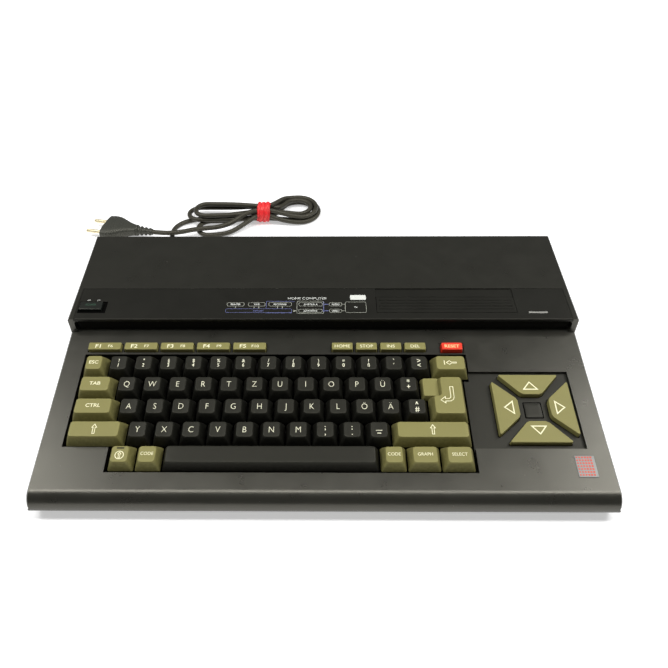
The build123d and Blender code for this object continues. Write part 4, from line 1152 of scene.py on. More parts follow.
@dataclass(frozen=True)
class Row:
    """A row of equal caps: its node, and the lower and upper legend of each cap."""

    node: str
    legends: tuple[tuple[str, str], ...]


@dataclass(frozen=True)
class Print:
    """How a legend is set: height of a capital, fattening, stretch and distance behind."""

    size: float
    bold: float = 0.0
    wide: float = 1.0
    behind: float = 0.0


class Direction(Enum):
    """Arrow keys, by quarter turns from straight up."""

    UP = 0
    LEFT = 1
    DOWN = 2
    RIGHT = 3

    @property
    def node(self) -> str:
        """CAD node of the arrow key."""
        return f"arrow_{self.name.lower()}_key"

    def turned(self, outline: Pairs) -> Pairs:
        """Outline turned about the origin by the key's quarter turns.

        Args:
            outline: its corners.

        Returns:
            The turned corners.
        """
        angle = self.value * math.pi / 2
        cosine, sine = round(math.cos(angle)), round(math.sin(angle))
        return tuple((x * cosine - y * sine, x * sine + y * cosine) for x, y in outline)


def plain(text: str) -> tuple[tuple[str, str], ...]:
    """One centred legend for each letter of a word."""
    return tuple((letter, "") for letter in text)


ROWS = (
    Row("number_row_keys", tuple(zip("1234567890ß´<", "!\"§$%&/()=?`>"))),
    Row("upper_row_keys", plain("QWERTZUIOPÜ") + (("+", "*"),)),
    Row("home_row_keys", plain("ASDFGHJKLÖÄ") + (("#", "^"),)),
    Row("lower_row_keys", plain("YXCVBNM") + ((",", ";"), (".", ":"), ("-", "_"))),
)
WIDE_SIGNS = {"-": 2.0, "_": 1.6}
WORD_KEYS = {
    "escape_key": "ESC",
    "tab_key": "TAB",
    "control_key": "CTRL",
    "code_left_key": "CODE",
    "code_right_key": "CODE",
    "graph_key": "GRAPH",
    "select_key": "SELECT",
}
EDIT_KEYS = {
    "home_key": "HOME",
    "stop_key": "STOP",
    "insert_key": "INS",
    "delete_key": "DEL",
    "reset_key": "RESET",
}
RED_KEY = "reset_key"
FUNCTION_KEYS = 5


@dataclass
class Keyboard:
    """All keys with their legends, in the panel frame."""

    shop: Workshop
    case: Case
    letters: Lettering
    cap_gap: float = 1.05
    foot_band: float = 0.2
    low_rounding: float = 0.25
    arrow_rounding: float = 0.4
    front_top: float = 9.0
    sign_step: float = 2.05
    letter_print: Print = Print(5.0, -0.014)
    sign_print: Print = Print(3.15, 0.01)
    point_print: Print = Print(4.4, 0.01)
    word_print: Print = Print(3.0, 0.01, 1.28, 0.4)
    small_print: Print = Print(2.45, 0.0, 1.15, 0.4)
    edit_print: Print = Print(2.9, 0.0, 1.28)
    red_print: Print = Print(2.9, 0.025, 1.28)
    function_prints: tuple[Print, Print] = (Print(3.5, 0.014, 1.4), Print(2.6, 0.004, 1.35))
    function_places: Pair = (-0.2, 0.17)
    line: float = 0.5
    arrow_line: float = 0.85
    triangle: Pairs = ((-6.0, 15.2), (6.0, 15.2), (0.0, 22.6))
    shift_sign: Pairs = (
        (0.0, 4.1), (-2.2, 0.9), (-1.0, 0.9), (-1.0, -4.0), (1.0, -4.0), (1.0, 0.9), (2.2, 0.9)
    )
    return_sign: Pairs = (
        (3.9, 7.2), (1.1, 7.2), (1.1, -1.2), (0.8, -2.4), (-0.2, -3.0), (-2.6, -3.0), (-2.6, -1.1),
        (-6.6, -4.5), (-2.6, -7.6), (-2.6, -5.7), (0.9, -5.6), (3.1, -4.3), (3.9, -2.0)
    )
    erase_sign: Pairs = (
        (-3.5, 0.0), (-0.7, -2.0), (0.9, -0.7), (4.7, -0.7), (4.7, 0.7), (0.9, 0.7), (-0.7, 2.0)
    )
    erase_stop: Spans = ((-4.9, -4.2), (-1.9, 1.9))
    lock_radius: float = 3.2
    lock_steps: int = 28
    lock_line: float = 0.55
    lock_arrow: Pair = (0.72, 0.62)
    lock_arrow_line: float = 0.42
    lock_drop: float = 0.9
    window: Spans = ((-2.6, 2.6), (3.9, 5.0))
    window_radius: float = 0.3
    window_height: float = 0.12
    centre_half: float = 6.9
    centre_radius: float = 0.8
    centre_gap: float = 0.8
    gap_heights: Pair = (-0.05, 0.06)
    centre_shape: Pairs = ((0.8, 0.0), (0.8, 0.25), (0.9, 0.4), (1.2, 0.48), (4.0, 0.4))
    return_middle: float = 11.0
    return_lift: float = 1.0
    return_sign_middle: float = 13.6
    ledge_width: float = 10.7
    ledge_height: float = 5.0
    ledge_overlap: float = 4.0
    hook_start: float = 4.76

    def area(self, node: str) -> Area:
        """Foot and top of a cap, from its CAD node in the panel frame.

        Args:
            node: the CAD node.

        Returns:
            The box round the points at the foot's level, with the height of the highest point.
        """
        points = self.case.panel.local(self.case.points(node))
        foot = points[np.abs(points[:, 2] + LETTER_CAP.sink) < self.foot_band]
        low, high = foot.min(axis=0), foot.max(axis=0)
        return Area(low[0], high[0], low[1], high[1], points[:, 2].max())

    def flat_area(self, node: str) -> Area:
        """Outer box of a low key in the panel frame.

        Args:
            node: the CAD node.

        Returns:
            The box, with the height of its top.
        """
        points = self.case.panel.local(self.case.points(node))
        low, high = points.min(axis=0), points.max(axis=0)
        return Area(low[0], high[0], low[1], high[1], high[2])

    def lay(self, cap: Cap, area: Area, mark: Patch, dx: float = 0.0, dv: float = 0.0) -> Patch:
        """A mark laid on a cap's hollowed top.

        Args:
            cap: the cap's shape.
            area: the cap's place.
            mark: a thin plate about the origin.
            dx: distance to the right of the middle.
            dv: distance behind the middle.

        Returns:
            The mark in the panel frame.
        """
        points = mark.points + np.array([dx, dv, 0])
        half = (area.right - area.left) / 2 - cap.side_draft
        points[:, 2] += cap.height(points[:, 0], half, area.top)
        x, v = area.middle
        return mark.at(points + np.array([x, v, 0]))

    def word(self, text: str, style: Print) -> Patch:
        """A word set in a style, about the origin."""
        return self.letters.word(text, style.size, style.bold, style.wide)

    def add(self, name: str, patch: Patch, finish: Finish, node: str) -> Made:
        """Makes a piece of a surface in the panel frame, on the body of a node."""
        laid = self.case.panel.laid(patch)
        return self.shop.piece(name, laid, finish, self.shop.body(node))

    def cap(self, node: str, cap: Cap, finish: Finish) -> Area:
        """Makes one cap, which stands for its node.

        Args:
            node: the CAD node.
            cap: the cap's shape.
            finish: its finish.

        Returns:
            The cap's place.
        """
        area = self.area(node)
        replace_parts(self.add(f"{node}_cap", cap.patch(area), finish, node), node)
        return area

    def marks(self, legends: tuple[str, str], area: Area) -> list[Patch]:
        """Legends of a dark cap: one letter in the middle, or two signs one above the other.

        Args:
            legends: the lower legend, and the upper one or nothing.
            area: the cap's place.

        Returns:
            The legends in the panel frame.
        """
        if not legends[1]:
            return [self.lay(LETTER_CAP, area, self.word(legends[0], self.letter_print))]
        style = self.sign_print if legends[0].isalnum() else self.point_print
        marks = []
        for text, step in zip(legends, (-self.sign_step, self.sign_step)):
            word = self.word(text, replace(style, wide=WIDE_SIGNS.get(text, 1.0)))
            marks.append(self.lay(LETTER_CAP, area, word, dv=step))
        return marks

    def rows(self) -> None:
        """The four rows of dark caps."""
        for row in ROWS:
            whole = self.area(row.node)
            pitch = (whole.right - whole.left + self.cap_gap) / len(row.legends)
            caps, marks = [], []
            for i, legends in enumerate(row.legends):
                left = whole.left + i * pitch
                area = replace(whole, left=left, right=left + pitch - self.cap_gap)
                caps.append(LETTER_CAP.patch(area))
                marks += self.marks(legends, area)
            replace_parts(self.add(f"{row.node}_caps", join(caps), KEY_DARK, row.node), row.node)
            self.add(f"{row.node}_legends", join(marks), LEGEND, row.node)

    def word_keys(self) -> None:
        """The olive caps with words."""
        for node, text in WORD_KEYS.items():
            area = self.cap(node, WIDE_CAP, KEY_OLIVE)
            style = self.word_print if area.top > self.front_top else self.small_print
            word = self.lay(WIDE_CAP, area, self.word(text, style), dv=style.behind)
            self.add(f"{node}_legend", word, LEGEND_OLIVE, node)

    def sign_keys(self) -> None:
        """The olive caps with signs, and the lamp window of the key that locks capitals."""
        shift = self.letters.mark(self.shift_sign, self.line)
        arrow = self.letters.mark(self.erase_sign, self.line)
        stop = bar(*self.erase_stop, (0.0, self.letters.thickness))
        signs = {
            "caps_lock_key": self.lock_sign(),
            "backspace_key": join([arrow, stop]),
            "shift_left_key": shift,
            "shift_right_key": shift,
        }
        for node, sign in signs.items():
            area = self.cap(node, WIDE_CAP, KEY_OLIVE)
            self.add(f"{node}_legend", self.lay(WIDE_CAP, area, sign), LEGEND_OLIVE, node)
            if node == "caps_lock_key":
                outline = rounded_box(*self.window, self.window_radius)
                window = self.lay(WIDE_CAP, area, slab(outline, 0.0, self.window_height))
                self.add("caps_lock_window", window, WINDOW, node)

    def lock_sign(self) -> Patch:
        """Ring with a small arrow in it, for the key that locks capitals.

        Returns:
            The sign about the origin.
        """
        ring = self.letters.mark(self.lock_radius * circle(self.lock_steps), self.lock_line)
        outline = np.array(self.shift_sign) * self.lock_arrow
        arrow = self.letters.mark(outline, self.lock_arrow_line)
        return join([ring, arrow]).shifted(0, -self.lock_drop, 0)

    def function_keys(self) -> None:
        """The flat function keys, each with its own number and the one of its second function."""
        for number in range(1, FUNCTION_KEYS + 1):
            node = f"function_key_{number}"
            self.shop.softened(node, self.low_rounding, KEY_OLIVE)
            area = self.flat_area(node)
            span = area.right - area.left
            texts = (f"F{number}", f"F{number + FUNCTION_KEYS}")
            marks = [
                self.lay(FLAT_CAP, area, self.word(text, style), share * span)
                for text, style, share in zip(texts, self.function_prints, self.function_places)
            ]
            self.add(f"{node}_legend", join(marks), LEGEND_OLIVE, node)

    def edit_keys(self) -> None:
        """The flat keys for editing, the last of them red."""
        for node, text in EDIT_KEYS.items():
            red = node == RED_KEY
            self.shop.softened(node, self.low_rounding, KEY_RED if red else KEY_OLIVE)
            word = self.word(text, self.red_print if red else self.edit_print)
            laid = self.lay(FLAT_CAP, self.flat_area(node), word)
            self.add(f"{node}_legend", laid, LEGEND_RED if red else LEGEND_OLIVE, node)

    def arrows(self) -> None:
        """The four arrow keys with their outlined triangles, and the fixed cap between them, ringed
        with painted shade.
        """
        boxes = {arrow: self.flat_area(arrow.node) for arrow in Direction}
        x = (boxes[Direction.LEFT].left + boxes[Direction.RIGHT].right) / 2
        v = (boxes[Direction.DOWN].front + boxes[Direction.UP].back) / 2
        for arrow, box in boxes.items():
            self.shop.softened(arrow.node, self.arrow_rounding, KEY_OLIVE)
            mark = self.letters.mark(arrow.turned(self.triangle), self.arrow_line)
            place = mark.shifted(x, v, box.top)
            self.add(f"{arrow.node}_legend", place, LEGEND_OLIVE, arrow.node)
        level = self.flat_area("arrow_plate").top
        half, radius = self.centre_half, self.centre_radius
        outline = rounded_ring(rectangle(half, half), radius, corner=3, side=0)
        # A near-black ring at the plate's level round the fixed cap: painted shade for the gap
        # there
        rim = frame_line(outline, self.centre_gap, *self.gap_heights)
        self.add("arrow_centre_gap", rim.shifted(x, v, level), PAINTED_SHADE, "arrow_plate")
        steps, heights = zip(*self.centre_shape)
        outlines = [rounded_ring(rectangle(half - step, half - step), radius) for step in steps]
        body = stack(levels(outlines, heights))
        self.add("arrow_centre_cap", body.shifted(x, v, level), PAD, "arrow_plate")

    def hook(self, area: Area, side: float, end: float, inner: float) -> Array:
        """Outline of the return key: a column over both rows, and a foot to the left in front.

        Args:
            area: the key's place.
            side: how far the left and right sides move inward.
            end: how far the front and back sides move inward.
            inner: v of the side between the foot and the space for the ledge.

        Returns:
            Its six corners, anticlockwise from the right rear.
        """
        right, back, front = area.right - side, area.back - end, area.front + end
        column, foot = area.left + self.ledge_width + side, area.left + self.hook_start + side
        return np.array([
            (right, back), (column, back), (column, inner), (foot, inner), (foot, front),
            (right, front),
        ])

    def return_key(self) -> None:
        """The return key: a hook over both rows, a low ledge beside it, and a bent arrow."""
        node = "return_key"
        area = self.area(node)
        pitch = (area.back - area.front + self.cap_gap) / 2
        step = area.front + pitch - self.cap_gap
        v = (area.front + step) / 2 + self.return_lift
        middle = np.array([area.right - self.return_middle, v])
        foot = self.hook(area, 0, 0, step + FLAT_CAP.end_draft)
        top = self.hook(area, FLAT_CAP.side_draft, FLAT_CAP.end_draft, step)
        body = FLAT_CAP.skin(foot - middle, top - middle, area.top, 1.0).shifted(*middle, 0)
        end = area.left + self.ledge_width + self.ledge_overlap
        shelf = Area(area.left, end, step + self.cap_gap, area.back, self.ledge_height)
        cap = join([body, LEDGE_CAP.patch(shelf)])
        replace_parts(self.add(f"{node}_cap", cap, KEY_OLIVE, node), node)
        mark = self.letters.mark(self.return_sign, self.line)
        x = area.right - self.return_sign_middle
        self.add(f"{node}_legend", mark.shifted(x, area.middle[1], area.top), LEGEND_OLIVE, node)

    def build(self) -> None:
        """Makes every key."""
        self.rows()
        self.word_keys()
        self.sign_keys()
        self.cap("space_bar", SPACE_CAP, KEY_DARK)
        self.function_keys()
        self.edit_keys()
        self.arrows()
        self.return_key()


# Mouldings


@dataclass
class Housing:
    """Case mouldings, with the badge on the panel and the finishes of the parts inside."""

    shop: Workshop
    case: Case
    shells: Shells = (
        ("keyboard_surround", 0.6, CASE),
        ("deck_cover", 0.6, CASE),
        ("lower_case", 0.4, CASE),
        ("arrow_plate", 0.2, PAD),
        ("rubber_feet", 0.5, FOOT),
        ("case_screws", 0.25, STEEL),
    )
    inside: tuple[tuple[str, Finish], ...] = (
        ("key_plate", PLATE),
        ("key_switches", SWITCH),
        ("keyboard_board", BOARD),
        ("power_switch", SWITCH),
        ("main_board", BOARD),
        ("power_transformer", IRON),
    )
    badge_x: Pair = (176.2, 189.8)
    badge_v: Pair = (9.2, 25.4)
    badge_radius: float = 0.6
    badge_shape: Pairs = ((0.0, 0.0), (0.0, 0.3), (0.12, 0.42), (0.3, 0.45))
    dot_rows: int = 7
    dot_columns: int = 6
    dot_margins_x: Pair = (1.3, 2.6)
    dot_margins_v: Pair = (1.7, 1.3)
    dot: float = 0.66
    dot_growth: float = 0.03
    dot_steps: int = 10
    dot_heights: Pair = (0.45, 0.5)

    def badge(self) -> None:
        """Square metal plate with a plain grid of printed dots, larger towards the right."""
        (x0, x1), (v0, v1) = self.badge_x, self.badge_v
        steps, heights = zip(*self.badge_shape)
        outlines = [
            rounded_box((x0 + step, x1 - step), (v0 + step, v1 - step), self.badge_radius)
            for step in steps
        ]
        plate = stack(levels(outlines, heights))
        self.shop.piece("badge_plate", self.case.panel.laid(plate), BADGE)
        left, right = self.dot_margins_x
        front, back = self.dot_margins_v
        columns = np.linspace(x0 + left, x1 - right, self.dot_columns)
        rows = np.linspace(v0 + front, v1 - back, self.dot_rows)
        round_dot = circle(self.dot_steps)
        dots = [
            slab(np.array([x, v]) + round_dot * (self.dot + self.dot_growth * i), *self.dot_heights)
            for i, x in enumerate(columns)
            for v in rows
        ]
        self.shop.piece("badge_dots", self.case.panel.laid(join(dots)), RED_DOT)

    def build(self) -> None:
        """Makes the rounded mouldings and paints the nodes that stay."""
        self.shop.shells(self.shells)
        self.badge()
        for node, finish in self.inside:
            self.shop.paint(node, finish)


@dataclass
class ControlStrip:
    """The strip along the deck's front: flap, power button, lamp and all that is printed there.

    The block diagram's boxes, wires and buses are given by their spans in x and up the slope.
    """

    shop: Workshop
    case: Case
    letters: Lettering
    shells: Shells = (
        ("control_strip", 0.25, STRIP),
        ("cartridge_door", 0.12, STRIP),
        ("shadow_strip", 0.15, GLOSS),
        ("power_button", 0.35, BUTTON),
        ("power_lamp", 0.15, LAMP),
    )
    line: float = 0.34
    ink: float = 0.04
    corner: float = 1.5
    boxes: tuple[tuple[str, Pair, Pair], ...] = (
        ("PRINTER", (-76.9, -62.9), (14.5, 18.9)),
        ("TAPE", (-59.8, -45.9), (14.5, 18.9)),
        ("RECORDER", (-43.2, -24.6), (14.5, 18.9)),
        ("JOYSTICK A", (-18.9, 0.2), (14.5, 18.9)),
        ("JOYSTICK B", (-18.9, 0.2), (7.3, 11.3)),
        ("AUDIO", (5.6, 15.9), (14.5, 18.9)),
        ("VIDEO", (5.6, 15.9), (7.3, 11.3)),
        ("TV", (18.5, 35.6), (7.3, 19.5)),
    )
    pair_frame: Spans = ((-20.4, 1.4), (6.1, 20.5))
    wires: tuple[Spans, ...] = (
        ((-70.2, -69.6), (12.2, 14.3)),
        ((-55.1, -54.5), (12.2, 14.3)),
        ((-51.2, -50.6), (12.2, 14.3)),
        ((-36.15, -35.55), (12.2, 14.3)),
        ((-32.25, -31.65), (12.2, 14.3)),
        ((15.9, 18.5), (16.5, 16.9)),
        ((15.9, 18.5), (9.1, 9.5)),
    )
    arrow: Pairs = ((-20.4, 9.3), (-23.0, 10.6), (-23.0, 8.0))
    supply_box: Spans = ((-77.6, -24.2), (7.3, 11.9))
    supply_word: Spans = ((-77.6, -24.2), (7.3, 11.3))
    buses: tuple[Spans, ...] = (
        ((-45.3, -24.2), (6.8, 7.6)),
        ((-45.3, -22.2), (19.9, 20.3)),
        ((-45.3, -44.9), (12.2, 20.1)),
        ((1.4, 5.2), (8.9, 9.7)),
        ((1.4, 5.2), (16.3, 17.1)),
        ((0.8, 1.6), (8.1, 19.7)),
    )
    print_size: float = 1.75
    fat: float = 0.02
    title_size: float = 2.5
    title_stretch: float = 1.3
    title_place: Pair = (-12.0, 23.6)
    plate_x: Pair = (22.8, 35.6)
    plate_w: Pair = (21.9, 27.3)
    plate_radius: float = 0.7
    switch_size: float = 1.35
    switch_words: tuple[tuple[str, float], ...] = (("OFF", -3.4), ("ON", 4.4))
    switch_gap: float = 2.3
    power_size: float = 2.0
    power_drop: float = 4.2
    button_gap: float = 0.35
    recess_sides: Pair = (0.6, 3.1)
    recess_ends: Pair = (2.6, 1.0)
    recess_floor: float = -1.0

    def ring(self, x: Pair, w: Pair) -> Patch:
        """Outlined box with rounded corners."""
        return frame_line(rounded_box(x, w, self.corner), self.line, 0.0, self.ink)

    def stroke(self, x: Pair, w: Pair) -> Patch:
        """Filled stroke that spans x and w."""
        return bar(x, w, (0.0, self.ink))

    def word_in(self, text: str, x: Pair, w: Pair) -> Patch:
        """A small word in the middle of a box, left thin where the strokes of an M would cross."""
        word = self.letters.word(text, self.print_size, 0.0 if "M" in text else self.fat)
        return word.shifted((x[0] + x[1]) / 2, (w[0] + w[1]) / 2, 0)

    def printed(self, name: str, parts: list[Patch], finish: Finish) -> None:
        """Makes a printed piece on the strip's face."""
        self.shop.piece(name, self.case.deck.laid(join(parts)), finish)

    def diagram(self) -> None:
        """Plain block diagram of boxes and links, with general words."""
        pale = [self.ring(x, w) for _, x, w in self.boxes] + [self.ring(*self.pair_frame)]
        pale += [self.stroke(x, w) for x, w in self.wires]
        pale.append(slab(np.array(self.arrow), 0.0, self.ink))
        blue = [self.ring(*self.supply_box), self.word_in("MEMORY", *self.supply_word)]
        blue += [self.stroke(x, w) for x, w in self.buses]
        self.printed("diagram_outlines", pale, PRINT_PALE)
        self.printed("diagram_links", blue, PRINT_BLUE)
        words = [self.word_in(*box) for box in self.boxes]
        self.printed("diagram_words", words, PRINT_WHITE)

    def button_well(self) -> None:
        """Painted shade on the floor of the recess round the power button, in four dark bars."""
        points = self.case.deck.local(self.case.points("power_button"))
        left, front, _ = points.min(axis=0) - self.button_gap
        right, back, _ = points.max(axis=0) + self.button_gap
        start, end = left - self.recess_sides[0], right + self.recess_sides[1]
        near, far = front - self.recess_ends[0], back + self.recess_ends[1]
        height = (self.recess_floor, self.recess_floor + self.ink)
        bars = [
            bar((start, left), (near, far), height),
            bar((right, end), (near, far), height),
            bar((left, right), (near, front), height),
            bar((left, right), (back, far), height),
        ]
        self.printed("button_recess", bars, PAINTED_SHADE)

    def labels(self) -> None:
        """Plain words by the button and above the diagram, and a bare white field."""
        low, high = self.case.box("power_button")
        x = (low[0] + high[0]) / 2
        w = self.case.deck.local(np.array([[x, high[1], high[2]]]))[0, 1]
        marks = [
            self.letters.word(text, self.switch_size).shifted(x + step, w + self.switch_gap, 0)
            for text, step in self.switch_words
        ]
        title = self.letters.word("HOME COMPUTER", self.title_size)
        wide = title.at(title.points * np.array([self.title_stretch, 1, 1]))
        marks.append(wide.shifted(*self.title_place, 0))
        outline = rounded_box(self.plate_x, self.plate_w, self.plate_radius)
        marks.append(slab(outline, 0.0, self.ink))
        self.printed("strip_labels", marks, PRINT_WHITE)
        top = self.case.deck.local(self.case.points("power_button"))[:, 2].max()
        word = self.letters.word("POWER", self.power_size).shifted(x, w - self.power_drop, top)
        body = self.shop.body("power_button")
        self.shop.piece("button_label", self.case.deck.laid(word), PRINT_GREEN, body)

    def build(self) -> None:
        """Makes the strip and what it carries."""
        self.shop.shells(self.shells)
        self.diagram()
        self.labels()
        self.button_well()


# Connectors at the back


@dataclass
class RearPorts:
    """Rear sheet and its sockets, with pins and contacts.

    Profiles are (radius, distance to the rear) from the socket's floor.
    """

    shop: Workshop
    case: Case
    shells: Shells = (
        ("rear_panel", 0.12, SHEET),
        ("din_sockets", 0.2, SOCKET),
        ("joystick_sockets", 0.2, SOCKET),
        ("printer_socket", 0.2, SOCKET),
        ("rf_modulator", 0.12, TIN),
        ("cartridge_connectors", 0.2, SWITCH),
    )
    port_z: float = 25.6
    floor_y: float = 115.0
    pin_floor_y: float = 115.5
    ring_steps: int = 36
    din_places: Pair = (-47.5, -69.0)
    din_screen: Pairs = ((6.1, 0.0), (6.6, 0.0), (6.6, 6.0), (6.35, 6.2), (6.1, 6.0), (6.1, 2.6))
    din_insert: Pairs = ((5.9, 0.0), (5.9, 2.6), (5.6, 2.9))
    eyelet: Pairs = ((0.95, 2.7), (0.95, 3.05), (0.8, 3.1), (0.55, 2.8), (0.5, 2.7))
    eyelet_steps: int = 14
    eyelet_radius: float = 3.5
    eyelet_angles: tuple[float, ...] = (0, 45, 90, 135, 180)
    eyelet_drop: float = 1.0
    joystick_places: Pair = (4.5, -23.0)
    pin: Pairs = ((0.5, 0.0), (0.5, 4.2), (0.38, 4.8), (0.15, 5.1))
    pin_steps: int = 12
    pin_pitch: float = 2.77
    pin_rows: tuple[tuple[int, float], ...] = ((5, 1.42), (4, -1.42))
    printer_x: float = 42.5
    tongue: Pair = (15.5, 1.3)
    tongue_shape: Pairs = ((0.0, 0.0), (0.0, 4.6), (0.3, 5.0))
    blades: int = 7
    blade_pitch: float = 3.8
    blade_half: float = 0.7
    blade_length: float = 4.3
    blade_faces: Pair = (1.25, 1.5)
    cut_corner: float = 0.3
    jack_x: float = -91.99
    jack_end: float = 122.3
    jack_rim: Pairs = (
        (3.85, -1.5), (3.85, -0.05), (3.6, 0.12), (3.15, 0.1), (3.0, -0.05), (3.0, -1.5)
    )
    jack_insulator: Pairs = (
        (2.9, -1.5), (2.9, -0.75), (2.7, -0.6), (1.5, -0.6), (1.3, -0.8), (1.3, -1.5)
    )
    jack_contact: Pairs = (
        (1.15, -1.5), (1.15, -0.3), (1.0, -0.15), (0.75, -0.2), (0.6, -1.2), (0.5, -1.5)
    )
    contact_steps: int = 20
    rear_slot_x: float = 126.51
    door_slot: Point = (99.56, 38.76, 24.0)
    slot_half: float = 1.3
    spring_depth: float = 0.5
    spring_reach: Pair = (-6.0, -0.3)
    spring_count: int = 25
    spring_pitch: float = 3.5
    spring_half: float = 0.75

    def round_sockets(self) -> None:
        """Screen ring, insert and five contacts of each round socket."""
        screens, inserts, contacts = [], [], []
        for x in self.din_places:
            place = (x, self.floor_y, self.port_z)
            screens.append(turned_back(self.din_screen, place, self.ring_steps))
            inserts.append(turned_back(self.din_insert, place, self.ring_steps))
            for angle in np.radians(self.eyelet_angles):
                across = x + self.eyelet_radius * math.cos(angle)
                up = self.port_z + self.eyelet_radius * math.sin(angle) - self.eyelet_drop
                place = (across, self.floor_y, up)
                contacts.append(turned_back(self.eyelet, place, self.eyelet_steps))
        self.shop.piece("din_screens", join(screens), TIN)
        self.shop.piece("din_inserts", join(inserts), SOCKET)
        self.shop.piece("din_contacts", join(contacts), GOLD)

    def aerial_jack(self) -> None:
        """Turned rim, white insulator and hollow contact of the aerial jack."""
        place = (self.jack_x, self.jack_end, self.port_z)
        for name, profile, steps, finish in (
            ("jack_rim", self.jack_rim, self.ring_steps, TIN),
            ("jack_insulator", self.jack_insulator, self.ring_steps, INSULATOR),
            ("jack_contact", self.jack_contact, self.contact_steps, GOLD),
        ):
            self.shop.piece(name, turned_back(profile, place, steps), finish)

    def pin_sockets(self) -> None:
        """Nine round pins in each joystick socket."""
        pins = []
        for x in self.joystick_places:
            for count, height in self.pin_rows:
                for k in range(count):
                    across = x + (k - (count - 1) / 2) * self.pin_pitch
                    place = (across, self.pin_floor_y, self.port_z + height)
                    pins.append(turned_back(self.pin, place, self.pin_steps))
        self.shop.piece("joystick_pins", join(pins), GOLD)

    def blade(self, x: Pair, y: Pair, z: Pair) -> Patch:
        """Small straight block that spans x, y and z, with cut corners at its back end.

        Args:
            x: its sides.
            y: its front and back.
            z: its underside and top.

        Returns:
            The closed block.
        """
        cut = self.cut_corner
        outline = [
            (x[1], y[0]), (x[1], y[1] - cut), (x[1] - cut, y[1]), (x[0] + cut, y[1]),
            (x[0], y[1] - cut), (x[0], y[0]),
        ]
        return slab(np.array(outline), *z)

    def printer(self) -> None:
        """Tongue with two rows of seven contacts in the printer socket."""
        x, y, z = self.printer_x, self.pin_floor_y, self.port_z
        steps, lengths = zip(*self.tongue_shape)
        outlines = [inset(rectangle(*self.tongue), step) for step in steps]
        tongue = faced_back(stack(levels(outlines, lengths)), (x, y, z))
        self.shop.piece("printer_tongue", tongue, SOCKET)
        blades = []
        for k in range(self.blades):
            middle = x + (k - (self.blades - 1) // 2) * self.blade_pitch
            across = (middle - self.blade_half, middle + self.blade_half)
            for side in (-1, 1):
                low, high = sorted(z + side * face for face in self.blade_faces)
                blades.append(self.blade(across, (y, y + self.blade_length), (low, high)))
        self.shop.piece("printer_contacts", join(blades), GOLD)

    def edge_contacts(self) -> None:
        """Two rows of spring contacts in each cartridge slot, one row along either long side.

        A spring of the top slot is made lying, like one of the rear slot, and stood up: (x, y, z)
        becomes (x, -z, y).
        """
        back = self.case.box("cartridge_connectors")[1][1]
        start, end = self.spring_reach
        steps = (np.arange(self.spring_count) - (self.spring_count - 1) / 2) * self.spring_pitch
        half = self.spring_half
        springs = []
        for side in (-1, 1):
            faces = (side * self.slot_half, side * (self.slot_half - self.spring_depth))
            near, far = sorted(faces)
            for step in steps:
                middle = self.rear_slot_x + step
                height = (self.port_z + near, self.port_z + far)
                across = (middle - half, middle + half)
                springs.append(self.blade(across, (back + start, back + end), height))
                lying = self.blade((-half, half), self.spring_reach, (near, far))
                x, y, z = lying.points.T
                upright = lying.at(np.stack([x + step, -z, y], axis=1))
                springs.append(upright.shifted(*self.door_slot))
        self.shop.piece("slot_contacts", join(springs), GOLD)

    def build(self) -> None:
        """Makes the rear side."""
        self.shop.shells(self.shells)
        self.round_sockets()
        self.aerial_jack()
        self.pin_sockets()
        self.printer()
        self.edge_contacts()


# Mains cord


class Side(Enum):
    """Faces of the band where strands come out, by the sign of x."""

    LEFT = -1
    RIGHT = 1


@dataclass(frozen=True)
class RightTurn:
    """A turn of the right lobe.

    It joins the strands at the back and at the front, lies at the height z, is smaller than the
    outermost turn by the gap, and rises by the lift near the band.
    """

    back: int
    front: int
    gap: float
    z: float
    lift: float


@dataclass(frozen=True)
class LeftTurn:
    """A narrow turn on the left: x of its end, and y and height of its front and back lanes."""

    tip: float
    lanes: Pair
    heights: Pair


